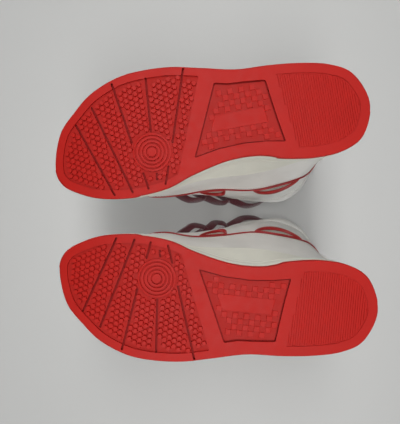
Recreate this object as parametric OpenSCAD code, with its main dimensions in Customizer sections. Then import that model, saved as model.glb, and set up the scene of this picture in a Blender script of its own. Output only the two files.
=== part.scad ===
// Pair of lace-up boxing boots standing on their soles.
// Toes point to -Y, the left boot stands on the +X side and the right boot mirrors it.
// One boot is described in its own frame: medial side -X, toe -Y, ground at z = 0.

/* [Pair] */
// Distance of each boot's centre from the plane between the boots
boot_offset = 80.4; // [78:0.2:110]
// Toe-in angle of each boot
toe_in = 7.9; // [0:0.1:8]

/* [Sole] */
// Thickness of the rubber outsole
outsole_t = 6; // [4:0.5:7]
// Thickness of the midsole under the ball of the foot
midsole_ball_t = 7; // [6:0.5:8]
// Thickness of the midsole under the heel
midsole_heel_t = 12; // [10:0.5:13]
// Height the toe of the sole springs up from the ground
toe_spring = 7; // [3:0.5:9]
// Thickness of the insole board
board_t = 2; // [1.5:0.1:2.5]
// Thickness of the loose sockliner
sockliner_t = 4; // [3:0.5:5]

/* [Upper] */
// Thickness of the leather panels
leather_t = 1.4; // [1:0.1:1.5]
// Thickness of the lining
lining_t = 1.2; // [0.8:0.1:1.4]
// Thickness of the tongue
tongue_t = 3.4; // [2.5:0.1:4]
// Thickness of the overlays stitched onto the panels
overlay_t = 1.1; // [0.8:0.1:1.4]
// Radius of the piping between the lower and upper panels
piping_r = 1.1; // [0.8:0.1:1.3]

/* [Lacing] */
// Pairs of eyelets
eyelet_pairs = 6; // [4:1:7]
// Outer radius of an eyelet flange
eyelet_r = 3.6; // [3:0.1:4]
// Half width of the flat lace
lace_half_w = 3.2; // [2.5:0.1:4]
// Thickness of the flat lace
lace_t = 1.4; // [1:0.1:1.8]

/* [Hidden] */
PARTS = ["outsole", "midsole", "insole_board", "sockliner", "lower_panel", "upper_panel",
         "arch_wing", "toe_cap", "heel_cup", "eyestay_lateral", "eyestay_medial", "lining", "collar_pad",
         "tongue", "piping", "vent_rims", "vent_mesh", "backstay", "pull_tab", "eyelets",
         "laces", "lace_tips"];

// Shift that centres the pair over the origin.
pair_y = -2.48;

// Outline of the outsole, from the back of the heel round the lateral side to the toe and back.
OUTLINE = [[-6, 145], [21, 135], [33, 116], [39, 90], [42, 62], [43.5, 32], [50, 2], [56, -27],
           [57, -56], [54, -77], [45, -100], [33, -116.5], [15, -135], [-13, -145], [-30, -141],
           [-41, -126], [-49, -106], [-53, -77], [-51, -47], [-43, -22], [-36, 10], [-36, 38],
           [-42, 62], [-46, 90], [-44, 116], [-33, 135]];

// Guide rows of the outer skin, from the feather line up to the top line. Each row starts at
// the back of the heel and goes round the lateral side, the toe and the medial side.
ROWS = [
    [[-6, 139, 22], [27, 122, 22], [37, 80, 21], [40, 20, 18], [52, -45, 15], [34, -108, 17],
     [-12, -139, 20], [-43, -108, 18], [-48, -60, 15], [-34, 0, 18], [-39, 75, 21], [-36, 122, 22]],
    [[-8, 141, 45], [25, 124, 45], [37, 80, 42], [40, 20, 38], [51, -45, 31], [32, -104, 32],
     [-12, -134, 35], [-42, -104, 33], [-53, -60, 32], [-46, 0, 40], [-45, 75, 43], [-38, 122, 45]],
    [[-12, 137, 70], [19, 122, 69], [31, 80, 64], [33, 18, 60], [42, -45, 47], [22, -92, 45],
     [-14, -116, 49], [-42, -90, 46], [-54, -57, 50], [-54, 0, 64], [-54, 72, 68], [-43, 118, 70]],
    [[-18, 133, 97], [10, 119, 95], [22, 80, 90], [20, 15, 84], [21, -36, 65], [4, -68, 58],
     [-20, -82, 59], [-42, -62, 63], [-54, -34, 72], [-62, 8, 86], [-65, 68, 94], [-52, 112, 96]],
    [[-25, 131, 122], [3, 118, 121], [14, 80, 117], [8, 27, 112], [-2, -5, 98], [-16, -24, 89],
     [-33, -31, 87], [-50, -20, 91], [-61, 1, 100], [-69, 30, 114], [-74, 70, 120], [-60, 110, 122]],
    [[-31, 132, 143], [-2, 120, 144], [9, 87, 145], [2, 52, 148], [-10, 30, 152], [-25, 18, 156],
     [-42, 14, 158], [-59, 21, 157], [-71, 39, 154], [-78, 62, 150], [-81, 90, 147], [-66, 115, 144]]];

// Height of the seam between the lower and upper panels, in guide rows, at each half station.
SEAM = [3.2, 3.19, 3.12, 2.8, 2.68, 2.7, 2.25, 1.85, 1.98, 2.13, 2.3, 2.55,
        2.75, 2.55, 2.3, 2.1, 1.95, 1.82, 2.2, 2.7, 2.68, 2.8, 3.12, 3.19];

// Stations of the mesh lines round the upper; they crowd together at the throat.
U = [0, 0.5, 1, 1.5, 2, 2.5, 2.75, 3, 3.25, 3.5, 3.9, 4.3, 4.65, 5, 5.3, 5.55, 5.78, 6,
     6.22, 6.45, 6.7, 7, 7.35, 7.7, 8.1, 8.5, 8.75, 9, 9.25, 9.5, 10, 10.5, 11, 11.5];
NU = len(U);
LOW_N = 7;
UP_N = 8;
T = [for (k = [0:LOW_N - 1]) k / LOW_N, for (k = [0:UP_N]) 1 + k / UP_N];
NT = len(T);
THROAT = 16;
SEAM_LINE = LOW_N;
THROAT_LINE = LOW_N + 1;
// Stations round the upper from one edge of the throat to the other.
HORSESHOE = concat([for (i = [THROAT + 2:NU - 1]) U[i]], [for (i = [0:THROAT]) U[i] + 12]);

// Catmull-Rom spline through points, closed or open.
function cr(a, b, c, d, t) =
    0.5 * (2 * b + (c - a) * t + (2 * a - 5 * b + 4 * c - d) * t * t
           + (3 * b - a - 3 * c + d) * t * t * t);
function closed_at(p, u) =
    let (n = len(p), i = floor(u), t = u - i, k = (i % n + n) % n)
    cr(p[(k + n - 1) % n], p[k], p[(k + 1) % n], p[(k + 2) % n], t);
function open_at(p, v) =
    let (n = len(p) - 1, i = max(0, min(floor(v), n - 1)), t = v - i)
    cr(i > 0 ? p[i - 1] : 2 * p[0] - p[1], p[i], p[i + 1],
       i + 2 <= n ? p[i + 2] : 2 * p[n] - p[n - 1], t);
function lerp(a, b, t) = a + (b - a) * t;
function clamp01(t) = max(0, min(1, t));

// Point and outward normal of the outer skin.
function skin(u, v) = open_at([for (r = ROWS) closed_at(r, u)], v);
function skin_normal(u, v) =
    let (e = 0.03, a = skin(u + e, v) - skin(u - e, v), b = skin(u, v + e) - skin(u, v - e),
         n = cross(b, a))
    n / norm(n);
function skin_off(u, v, d) = skin(u, v) + skin_normal(u, v) * d;

// Station counted within one turn.
function turn(u) = u - 12 * floor(u / 12);

// The throat narrows toward the vamp: lines beside station 6 close in as v falls.
function narrow(u, v) =
    let (d = turn(u) - 6, k = lerp(0.55, 1, clamp01((v - 3) / 2)))
    6 + d * (1 - (1 - k) * max(0, 1 - abs(d)));
function seam_v(u) = closed_at(SEAM, 2 * u);
function level(u, t) = t < 1 ? lerp(0, seam_v(u), t) : lerp(seam_v(u), 5, t - 1);
function at(u, t, d) = let (v = level(u, t)) skin_off(narrow(u, v), v, d);
function normal_at(u, t) = let (v = level(u, t)) skin_normal(narrow(u, v), v);

// Inward bulge that leaves room for the collar foam between the upper and the lining.
function collar_room(u, t) = 4.5 * clamp01((t - 1.55) / 0.2) * clamp01((abs(turn(u) - 6) - 1.2) / 0.8);

// Closed sheet between two point grids with the same rows and columns; wrap joins the
// last column to the first. The first grid is the outer face.
module sheet(outer, inner, wrap = false) {
    m = len(outer);
    n = len(outer[0]);
    w = m * n;
    cols = wrap ? m : m - 1;
    pts = [each [for (c = outer) each c], each [for (c = inner) each c]];
    quads = [for (i = [0:cols - 1], j = [0:n - 2])
        [i * n + j, ((i + 1) % m) * n + j, ((i + 1) % m) * n + j + 1, i * n + j + 1]];
    rims = [for (i = [0:cols - 1]) each [
        [i * n, w + i * n, w + ((i + 1) % m) * n, ((i + 1) % m) * n],
        [((i + 1) % m) * n + n - 1, w + ((i + 1) % m) * n + n - 1, w + i * n + n - 1,
         i * n + n - 1]]];
    ends = wrap ? [] : [for (j = [0:n - 2]) each [
        [j + 1, w + j + 1, w + j, j],
        [(m - 1) * n + j, w + (m - 1) * n + j, w + (m - 1) * n + j + 1, (m - 1) * n + j + 1]]];
    faces = [for (q = quads) each [[q[0], q[1], q[2]], [q[0], q[2], q[3]]],
             for (q = quads) each [[w + q[0], w + q[2], w + q[1]], [w + q[0], w + q[3], w + q[2]]],
             for (q = concat(rims, ends)) each [[q[0], q[1], q[2]], [q[0], q[2], q[3]]]];
    polyhedron(points = pts, faces = faces, convexity = 10);
}

// Sheet on the skin between offsets d1 (outer) and d0 (inner), over lists of u and t values.
module skin_sheet(us, ts, d0, d1, wrap = false) {
    sheet([for (u = us) [for (t = ts) at(u, t, d1)]],
          [for (u = us) [for (t = ts) at(u, t, d0)]], wrap);
}

// Tube of given radius swept along points.
module tube(p, r, sides = 6, closed = false) {
    m = len(p);
    rings = [for (i = [0:m - 1])
        let (a = closed ? p[(i + m - 1) % m] : p[max(0, i - 1)],
             b = closed ? p[(i + 1) % m] : p[min(m - 1, i + 1)],
             d = (b - a) / norm(b - a),
             up = abs(d[2]) < 0.9 ? [0, 0, 1] : [1, 0, 0],
             s0 = cross(d, up), s = s0 / norm(s0), w = cross(s, d))
        [for (k = [0:sides - 1]) p[i] + r * (cos(360 * k / sides) * s + sin(360 * k / sides) * w)]];
    faces = [for (i = [0:(closed ? m - 1 : m - 2)], k = [0:sides - 1])
        let (a = i * sides + k, b = i * sides + (k + 1) % sides,
             c = ((i + 1) % m) * sides + (k + 1) % sides, e = ((i + 1) % m) * sides + k)
        each [[a, b, c], [a, c, e]]];
    caps = closed ? [] : [[for (k = [sides - 1:-1:0]) k],
                          [for (k = [0:sides - 1]) (m - 1) * sides + k]];
    polyhedron(points = [for (r = rings) each r], faces = concat(faces, caps), convexity = 10);
}

// Flat band of given half width and thickness along points, lying square to its normals.
module band(p, nrm, hw, t) {
    m = len(p);
    rings = [for (i = [0:m - 1])
        let (a = p[max(0, i - 1)], b = p[min(m - 1, i + 1)], d = (b - a) / norm(b - a),
             s0 = cross(d, nrm[i]), s = s0 / norm(s0), w = cross(s, d))
        [p[i] - hw * s - t / 2 * w, p[i] + hw * s - t / 2 * w,
         p[i] + hw * s + t / 2 * w, p[i] - hw * s + t / 2 * w]];
    faces = [for (i = [0:m - 2], k = [0:3])
        let (a = i * 4 + k, b = i * 4 + (k + 1) % 4, c = b + 4, e = a + 4)
        each [[a, b, c], [a, c, e]]];
    polyhedron(points = [for (r = rings) each r],
               faces = concat(faces, [[3, 2, 1, 0], [for (k = [0:3]) (m - 1) * 4 + k]]));
}

// Sole outline moved inward by d.
OUT_N = 78;
function rim_point(u) = closed_at(OUTLINE, u);
function outline(d) = [for (k = [0:OUT_N - 1])
    let (u = k * len(OUTLINE) / OUT_N, a = rim_point(u + 0.1) - rim_point(u - 0.1),
         n = [a[1], -a[0]] / norm(a))
    rim_point(u) + n * d];

// Rise of the sole's underside at the toe.
function spring_z(y) = y > -70 ? 0 : toe_spring * pow((-70 - y) / 75, 2);
function foam_t(y) = lerp(midsole_ball_t, midsole_heel_t, clamp01((y + 60) / 130));
SOLE_Y = [160, 90, 70, 50, 30, 10, -10, -30, -50, -70, -85, -100, -115, -130, -145, -160];
function base_z(y) = spring_z(y) + outsole_t;
function top_z(y) = base_z(y) + foam_t(y);

// Layer of the sole: an outline cut between two side profiles.
module sole_layer(inset, low, high) {
    n = len(SOLE_Y);
    intersection() {
        translate([0, 0, -1])
            linear_extrude(60) polygon(outline(inset));
        rotate([90, 0, 90])
            translate([0, 0, -80])
                linear_extrude(160)
                    polygon([for (i = [0:n - 1]) [SOLE_Y[i], low[i]],
                             for (i = [n - 1:-1:0]) [SOLE_Y[i], high[i]]]);
    }
}
LEVEL_0 = [for (y = SOLE_Y) spring_z(y)];
LEVEL_1 = [for (y = SOLE_Y) base_z(y)];
LEVEL_2 = [for (y = SOLE_Y) top_z(y)];
LEVEL_3 = [for (y = SOLE_Y) top_z(y) + 0.2 + board_t];
LEVEL_4 = [for (y = SOLE_Y) top_z(y) + 0.4 + board_t + sockliner_t];

module outsole() {
    color([0.70, 0.15, 0.13])
        difference() {
            sole_layer(0, LEVEL_0, LEVEL_1);
            // pivot ring under the ball
            for (r = [5, 11.5])
                translate([-16.3, -55, -0.1])
                    difference() {
                        cylinder(r = r + 0.7, h = 1.1, $fn = 48);
                        translate([0, 0, -0.1]) cylinder(r = r - 0.7, h = 1.3, $fn = 48);
                    }
            // recessed window under the waist
            translate([0, 0, -0.1])
                linear_extrude(1.3)
                    polygon([[35.4, 10.5], [32, 32], [30, 57], [0, 62], [-28, 65], [-23.5, 25],
                             [-28.4, -18.5], [5, -2]]);
        }
}
module midsole() {
    color([0.73, 0.72, 0.67])
        sole_layer(1.5, [for (z = LEVEL_1) z + 0.05], LEVEL_2);
}
module insole_board() {
    color([0.72, 0.62, 0.46])
        sole_layer(11, [for (z = LEVEL_2) z + 0.2], LEVEL_3);
}
module sockliner() {
    color([0.82, 0.80, 0.76])
        sole_layer(13, [for (z = LEVEL_3) z + 0.2], LEVEL_4);
}

// The upper stands on the midsole: its lowest line is kept just above the foam.
module above_sole(gap = 0.3) {
    difference() {
        children();
        sole_layer(-6, [for (z = LEVEL_0) z - 10], [for (z = LEVEL_2) z + gap]);
    }
}

module lower_panel() {
    color([0.72, 0.71, 0.68])
        above_sole() skin_sheet(U, [for (k = [0:SEAM_LINE]) T[k]], -leather_t, 0, true);
}
// The upper panel is a horseshoe that is open at the throat.
module upper_panel() {
    color([0.74, 0.73, 0.71])
        skin_sheet(HORSESHOE, [for (k = [SEAM_LINE:NT - 1]) T[k] + (k == SEAM_LINE ? 0.01 : 0)],
                   -leather_t, 0);
}
// Cream side wall of the midsole that cups the medial waist.
module arch_wing() {
    color([0.73, 0.72, 0.67])
        above_sole() skin_sheet([8.1, 8.5, 9, 9.5, 10, 10.5], [for (k = [0:3]) k / 7],
                                0.25, 1.75);
}
module toe_cap() {
    color([0.75, 0.74, 0.72])
        above_sole() skin_sheet([for (i = [13:21]) U[i]], [0, 1 / 7, 2 / 7, 3 / 7, 4 / 7],
                                0.25, 0.25 + overlay_t);
}
module heel_cup() {
    color([0.75, 0.74, 0.72])
        above_sole() skin_sheet([10.6, 11, 11.5, 12, 12.5, 13, 13.4],
                                [0, 1 / 7, 2 / 7, 3 / 7, 4 / 7, 5 / 7], 0.25, 0.25 + overlay_t);
}
module eyestay(us) {
    color([0.76, 0.75, 0.74])
        skin_sheet(us, concat([1.03], [for (k = [THROAT_LINE:NT - 1]) T[k]]), 0.25,
                   0.25 + overlay_t);
}
module eyestay_lateral() {
    eyestay([4.85, 5, 5.3, 5.55, 5.62]);
}
module eyestay_medial() {
    eyestay([6.38, 6.45, 6.7, 7, 7.15]);
}
LINING_D = leather_t + 0.5;
module lining() {
    color([0.35, 0.33, 0.33]) {
        above_sole(0.3 + board_t + sockliner_t + 0.6)
            skin_sheet(U, [for (k = [0:SEAM_LINE]) T[k]], -LINING_D - lining_t, -LINING_D, true);
        rows = [for (k = [SEAM_LINE:NT - 1]) T[k] + (k == SEAM_LINE ? 0.01 : 0)];
        sheet([for (u = HORSESHOE) [for (t = rows) at(u, t, -LINING_D - collar_room(u, t))]],
              [for (u = HORSESHOE) [for (t = rows)
                  at(u, t, -LINING_D - lining_t - collar_room(u, t))]]);
    }
}
// Foam ring inside the collar, open at the throat.
module collar_pad() {
    color([0.80, 0.79, 0.77]) {
        cols = concat([for (i = [24:NU - 1]) U[i]], [for (i = [0:10]) U[i] + 12]);
        rows = [1.76, 1.875, 1.985];
        sheet([for (u = cols) [for (t = rows) at(u, t, -leather_t - 0.3)]],
              [for (u = cols) [for (t = rows) at(u, t, 0.3 - LINING_D - collar_room(u, t))]]);
    }
}
// Padded tongue under the throat, rising above the top line.
module tongue() {
    color([0.78, 0.77, 0.75]) {
        us = [for (k = [0:8]) 4.95 + k * 2.1 / 8];
        vs = [for (k = [0:9]) 3 + k * 2.3 / 9];
        d0 = -LINING_D - lining_t - 0.6;
        sheet([for (u = us) [for (v = vs) skin_off(u, v, d0)]],
              [for (u = us) [for (v = vs) skin_off(u, v, d0 - tongue_t)]]);
    }
}
// Corded piping on the seam between the panels.
module piping() {
    color([0.55, 0.10, 0.11])
        tube([for (k = [0:47]) let (u = k / 4) at(u, 1, piping_r + 0.45)], piping_r, 6, true);
}

// Half-moon vents above the seam on both sides: [start, end, height, rim] in stations and levels.
VENTS = [[8.68, 9.12, 0.30, 0.10], [9.56, 10.6, 0.34, 0.11], [2.44, 1.4, 0.34, 0.11],
         [3.32, 2.88, 0.30, 0.10]];
VENT_LOW = 1.045;
VENT_N = 22;
// Border of a vent moved inward by k = 1, or its outer border with k = 0.
function vent_loop(v, k, d) = [for (i = [0:VENT_N - 1])
    let (a = 360 * i / VENT_N, s = 0.5 - (0.5 - 0.1 * k) * cos(a), g = pow(max(0, -sin(a)), 1.25))
    at(lerp(v[0], v[1], s),
       VENT_LOW + 0.03 * k + (v[2] - 0.03 * k - v[3] * k) * g, d)];
module vent_rims() {
    color([0.62, 0.12, 0.11])
        for (v = VENTS) {
            rings = [vent_loop(v, 0, 1.7), vent_loop(v, 1, 1.7), vent_loop(v, 1, 0.5),
                     vent_loop(v, 0, 0.5)];
            faces = [for (r = [0:3], i = [0:VENT_N - 1])
                let (j = (i + 1) % VENT_N, q = (r + 1) % 4,
                     a = r * VENT_N + i, b = q * VENT_N + i, c = q * VENT_N + j, e = r * VENT_N + j)
                each (v[0] < v[1] ? [[c, b, a], [e, c, a]] : [[a, b, c], [a, c, e]])];
            polyhedron(points = [for (r = rings) each r], faces = faces, convexity = 6);
        }
}
// Level of a vent's inner upper edge at station share s.
function mesh_top(v, s) = VENT_LOW + 0.015 + (v[2] - 0.045 - v[3])
    * pow(sqrt(1 - pow((s - 0.5) / 0.4, 2)), 1.25);
function mesh_grid(v, cs, d) = [for (s = cs) [for (j = [0:2])
    at(lerp(v[0], v[1], s), lerp(VENT_LOW + 0.045, mesh_top(v, s), j / 2), d)]];
module vent_mesh() {
    color([0.60, 0.63, 0.55])
        for (v = VENTS) {
            cs = v[0] < v[1] ? [0.2, 0.35, 0.5, 0.65, 0.8] : [0.8, 0.65, 0.5, 0.35, 0.2];
            sheet(mesh_grid(v, cs, 1.1), mesh_grid(v, cs, 0.7));
        }
}
// Strip covering the back seam.
module backstay() {
    color([0.62, 0.12, 0.11])
        skin_sheet([-0.28, -0.1, 0.1, 0.28], [for (k = [SEAM_LINE + 1:NT - 1]) T[k] - 0.02],
                   0.25, 0.25 + overlay_t);
}
// Webbing loop standing at the back of the collar, sewn to the backstay.
TAB_PATH = [[2.5, -1], [2.4, 4], [0.8, 9], [1.8, 16], [6, 20], [10.2, 16], [10.6, 9], [7, 3],
            [4.1, -1]];
TAB_HALF_W = 7;
TAB_AT = at(0, 1.93, 0);
module pull_tab() {
    color([0.60, 0.11, 0.11])
        translate(TAB_AT)
            band([for (p = TAB_PATH) [0, p[0], p[1]]], [for (p = TAB_PATH) [1, 0, 0]], 0.6,
                 2 * TAB_HALF_W);
}
// Eyelet positions along each eyestay.
function eye_t(i) = lerp(1.2, 1.93, i / (eyelet_pairs - 1));
function eye_u(side) = 6 + side * 0.58;
module eyelets() {
    color([0.70, 0.68, 0.66])
        for (side = [-1, 1], i = [0:eyelet_pairs - 1]) {
            p = at(eye_u(side), eye_t(i), overlay_t + 0.8);
            n = normal_at(eye_u(side), eye_t(i));
            translate(p)
                rotate([acos(n[2]), 0, atan2(n[0], -n[1])])
                    difference() {
                        cylinder(r = eyelet_r, h = 0.8, $fn = 32);
                        translate([0, 0, -1]) cylinder(r = 1.9, h = 3, $fn = 32);
                    }
        }
}
// Flat lace: one slack run bowing across the throat at each pair of eyelets.
module lace_run(i, lift, droop) {
    p = [for (k = [0:8])
        let (s = -1 + k / 4, b = 1 - s * s)
        at(6 + s * 0.62, eye_t(i), overlay_t + 2.4 + lift * b) - [droop * b, 0, 0]];
    n = [for (k = [0:8]) normal_at(6 + (-1 + k / 4) * 0.62, eye_t(i))];
    band(p, n, lace_half_w, lace_t);
}
module laces() {
    color([0.36, 0.06, 0.11])
        for (i = [0:eyelet_pairs - 1])
            lace_run(i, 2.5 + (i % 2), 0.5);
}
// Covered lace ends tucked under the top run.
module lace_tips() {
    color([0.25, 0.05, 0.08])
        for (side = [-1, 1]) {
            p = at(6 + side * 0.25, 1.97, overlay_t + 3);
            translate(p) rotate([-20, 0, 0]) cylinder(r = 1.3, h = 14, $fn = 24);
        }
}

module left_boot() {
    translate([boot_offset, pair_y, 0]) rotate([0, 0, -toe_in]) children();
}
module right_boot() {
    mirror([1, 0, 0]) left_boot() children();
}
left_boot() outsole();  // outsole_left
left_boot() midsole();  // midsole_left
left_boot() insole_board();  // insole_board_left
left_boot() sockliner();  // sockliner_left
left_boot() lower_panel();  // lower_panel_left
left_boot() upper_panel();  // upper_panel_left
left_boot() arch_wing();  // arch_wing_left
left_boot() toe_cap();  // toe_cap_left
left_boot() heel_cup();  // heel_cup_left
left_boot() eyestay_lateral();  // eyestay_lateral_left
left_boot() eyestay_medial();  // eyestay_medial_left
left_boot() lining();  // lining_left
left_boot() collar_pad();  // collar_pad_left
left_boot() tongue();  // tongue_left
left_boot() piping();  // piping_left
left_boot() vent_rims();  // vent_rims_left
left_boot() vent_mesh();  // vent_mesh_left
left_boot() backstay();  // backstay_left
left_boot() pull_tab();  // pull_tab_left
left_boot() eyelets();  // eyelets_left
left_boot() laces();  // laces_left
left_boot() lace_tips();  // lace_tips_left
right_boot() outsole();  // outsole_right
right_boot() midsole();  // midsole_right
right_boot() insole_board();  // insole_board_right
right_boot() sockliner();  // sockliner_right
right_boot() lower_panel();  // lower_panel_right
right_boot() upper_panel();  // upper_panel_right
right_boot() arch_wing();  // arch_wing_right
right_boot() toe_cap();  // toe_cap_right
right_boot() heel_cup();  // heel_cup_right
right_boot() eyestay_lateral();  // eyestay_lateral_right
right_boot() eyestay_medial();  // eyestay_medial_right
right_boot() lining();  // lining_right
right_boot() collar_pad();  // collar_pad_right
right_boot() tongue();  // tongue_right
right_boot() piping();  // piping_right
right_boot() vent_rims();  // vent_rims_right
right_boot() vent_mesh();  // vent_mesh_right
right_boot() backstay();  // backstay_right
right_boot() pull_tab();  // pull_tab_right
right_boot() eyelets();  // eyelets_right
right_boot() laces();  // laces_right
right_boot() lace_tips();  // lace_tips_right
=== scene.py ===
"""Boxing boots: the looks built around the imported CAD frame.

One boot is built in its own frame in millimetres (medial -x, toe -y, ground z = 0), then each
piece is placed as the left boot and mirrored as the right one.
"""
import math

import bpy
import numpy as np
from mathutils import Matrix, Vector
from mathutils.geometry import delaunay_2d_cdt


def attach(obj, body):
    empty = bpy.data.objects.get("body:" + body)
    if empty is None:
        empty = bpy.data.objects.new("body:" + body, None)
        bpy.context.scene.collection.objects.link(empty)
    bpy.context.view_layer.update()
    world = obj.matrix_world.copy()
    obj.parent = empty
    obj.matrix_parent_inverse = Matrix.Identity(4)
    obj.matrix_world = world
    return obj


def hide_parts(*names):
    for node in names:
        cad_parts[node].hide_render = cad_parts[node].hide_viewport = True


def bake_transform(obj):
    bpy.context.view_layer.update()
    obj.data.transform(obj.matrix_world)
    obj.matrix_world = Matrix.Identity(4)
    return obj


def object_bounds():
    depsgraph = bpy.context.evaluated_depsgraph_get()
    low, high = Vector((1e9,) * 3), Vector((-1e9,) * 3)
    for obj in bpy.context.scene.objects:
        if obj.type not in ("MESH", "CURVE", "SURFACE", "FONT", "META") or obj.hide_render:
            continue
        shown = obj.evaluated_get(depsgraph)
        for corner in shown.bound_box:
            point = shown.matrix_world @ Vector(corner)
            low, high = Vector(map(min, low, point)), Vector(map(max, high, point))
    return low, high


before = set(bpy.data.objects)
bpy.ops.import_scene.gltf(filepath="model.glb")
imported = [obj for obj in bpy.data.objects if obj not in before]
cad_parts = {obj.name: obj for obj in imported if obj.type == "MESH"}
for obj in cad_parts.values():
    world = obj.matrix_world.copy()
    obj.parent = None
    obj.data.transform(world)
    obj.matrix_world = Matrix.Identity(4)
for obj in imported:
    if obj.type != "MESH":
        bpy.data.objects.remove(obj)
CAD_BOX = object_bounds()

# ---------------------------------------------------------------- placement
BOOT_OFFSET, PAIR_Y, TOE_IN = 80.4, -2.48, math.radians(7.9)
SIDES = ("left", "right")


def place(points, side):
    """Boot millimetres to row-frame metres."""
    p = np.asarray(points, float).reshape(-1, 3)
    c, s = math.cos(TOE_IN), math.sin(TOE_IN)
    x = BOOT_OFFSET + p[:, 0] * c + p[:, 1] * s
    y = PAIR_Y - p[:, 0] * s + p[:, 1] * c
    if side == "right":
        x = -x
    return np.stack([x, y, p[:, 2]], 1) / 1000.0


# ---------------------------------------------------------------- skin surface (as in the CAD)
ROWS = np.array([
    [[-6, 139, 22], [27, 122, 22], [37, 80, 21], [40, 20, 18], [52, -45, 15], [34, -108, 17],
     [-12, -139, 20], [-43, -108, 18], [-48, -60, 15], [-34, 0, 18], [-39, 75, 21], [-36, 122, 22]],
    [[-8, 141, 45], [25, 124, 45], [37, 80, 42], [40, 20, 38], [51, -45, 31], [32, -104, 32],
     [-12, -134, 35], [-42, -104, 33], [-53, -60, 32], [-46, 0, 40], [-45, 75, 43], [-38, 122, 45]],
    [[-12, 137, 70], [19, 122, 69], [31, 80, 64], [33, 18, 60], [42, -45, 47], [22, -92, 45],
     [-14, -116, 49], [-42, -90, 46], [-54, -57, 50], [-54, 0, 64], [-54, 72, 68], [-43, 118, 70]],
    [[-18, 133, 97], [10, 119, 95], [22, 80, 90], [20, 15, 84], [21, -36, 65], [4, -68, 58],
     [-20, -82, 59], [-42, -62, 63], [-54, -34, 72], [-62, 8, 86], [-65, 68, 94], [-52, 112, 96]],
    [[-25, 131, 122], [3, 118, 121], [14, 80, 117], [8, 27, 112], [-2, -5, 98], [-16, -24, 89],
     [-33, -31, 87], [-50, -20, 91], [-61, 1, 100], [-69, 30, 114], [-74, 70, 120], [-60, 110, 122]],
    [[-31, 132, 143], [-2, 120, 144], [9, 87, 145], [2, 52, 148], [-10, 30, 152], [-25, 18, 156],
     [-42, 14, 158], [-59, 21, 157], [-71, 39, 154], [-78, 62, 150], [-81, 90, 147], [-66, 115, 144]],
], float)
SEAM = np.array([3.2, 3.19, 3.12, 2.8, 2.68, 2.7, 2.25, 1.85, 1.98, 2.13, 2.3, 2.55,
                 2.75, 2.55, 2.3, 2.1, 1.95, 1.82, 2.2, 2.7, 2.68, 2.8, 3.12, 3.19])
GRID = np.concatenate([[2 * ROWS[0] - ROWS[1]], ROWS, [2 * ROWS[5] - ROWS[4]]])
LEATHER, OVERLAY = 1.4, 1.1


def cr_weights(t):
    """Catmull-Rom weights of four neighbours."""
    return 0.5 * np.stack([-t + 2 * t * t - t ** 3, 2 - 5 * t * t + 3 * t ** 3,
                           t + 4 * t * t - 3 * t ** 3, -t * t + t ** 3], -1)


def closed_spline(points, u):
    p, u = np.asarray(points, float), np.asarray(u, float)
    i = np.floor(u).astype(int)
    w = cr_weights(u - i)
    idx = (i[..., None] + np.arange(-1, 3)) % len(p)
    if p.ndim == 1:
        return (w * p[idx]).sum(-1)
    return (w[..., None] * p[idx]).sum(-2)


def skin(u, v):
    u, v = np.broadcast_arrays(np.asarray(u, float), np.asarray(v, float))
    iu, iv = np.floor(u).astype(int), np.clip(np.floor(v).astype(int), 0, 4)
    wu, wv = cr_weights(u - iu), cr_weights(v - iv)
    iu = (iu[..., None] + np.arange(-1, 3)) % 12
    iv = iv[..., None] + np.arange(4)
    p = GRID[iv[..., :, None], iu[..., None, :]]
    return np.einsum("...a,...b,...abc->...c", wv, wu, p)


def unit(a):
    return a / np.maximum(np.linalg.norm(a, axis=-1, keepdims=True), 1e-9)


def skin_normal(u, v):
    e = 0.03
    return unit(np.cross(skin(u, v + e) - skin(u, v - e), skin(u + e, v) - skin(u - e, v)))


def clamp01(t):
    return np.clip(t, 0, 1)


def smooth(t):
    t = clamp01(t)
    return t * t * (3 - 2 * t)


def lerp(a, b, t):
    return a + (b - a) * t


def turn(u):
    return u - 12 * np.floor(u / 12)


def narrow(u, v):
    d = turn(u) - 6
    k = lerp(0.55, 1, clamp01((v - 3) / 2))
    return 6 + d * (1 - (1 - k) * np.maximum(0, 1 - np.abs(d)))


SIDE = {"name": "left"}


def seam_level(u):
    """Seam height; the two boots of the pair differ a little on the medial side."""
    w = 0.28 if SIDE["name"] == "left" else -0.28
    return closed_spline(SEAM, 2 * u) + w * np.exp(-((turn(u) - 8.45) / 0.34) ** 2)


def level(u, t):
    s = seam_level(u)
    return np.where(t < 1, s * t, lerp(s, 5.0, t - 1))


def at(u, t, d=0.0):
    """Point at offset d from the skin; t runs 0 to 1 below the seam and 1 to 2 above it."""
    u, t = np.broadcast_arrays(np.asarray(u, float), np.asarray(t, float))
    v = level(u, t)
    w = narrow(u, v)
    return skin(w, v) + skin_normal(w, v) * np.asarray(d, float)[..., None]


def normal_at(u, t):
    u, t = np.broadcast_arrays(np.asarray(u, float), np.asarray(t, float))
    v = level(u, t)
    return skin_normal(narrow(u, v), v)


def wave_noise(p, scale, seed):
    """Smooth repeatable noise from a few sine waves, about -1 to 1."""
    rng = np.random.RandomState(seed)
    out = 0
    for k in range(6):
        d = rng.normal(size=3)
        d /= np.linalg.norm(d)
        f = (1 + 0.45 * k) / scale
        out = out + np.sin((p @ d) * f * 2 * math.pi + rng.uniform(0, 6.28)) / (1 + 0.5 * k)
    return out / 2.6


# ---------------------------------------------------------------- materials
def srgb(r, g, b):
    def f(c):
        c /= 255.0
        return c / 12.92 if c <= 0.04045 else ((c + 0.055) / 1.055) ** 2.4
    return (f(r), f(g), f(b), 1.0)


MATS = {}


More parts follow.
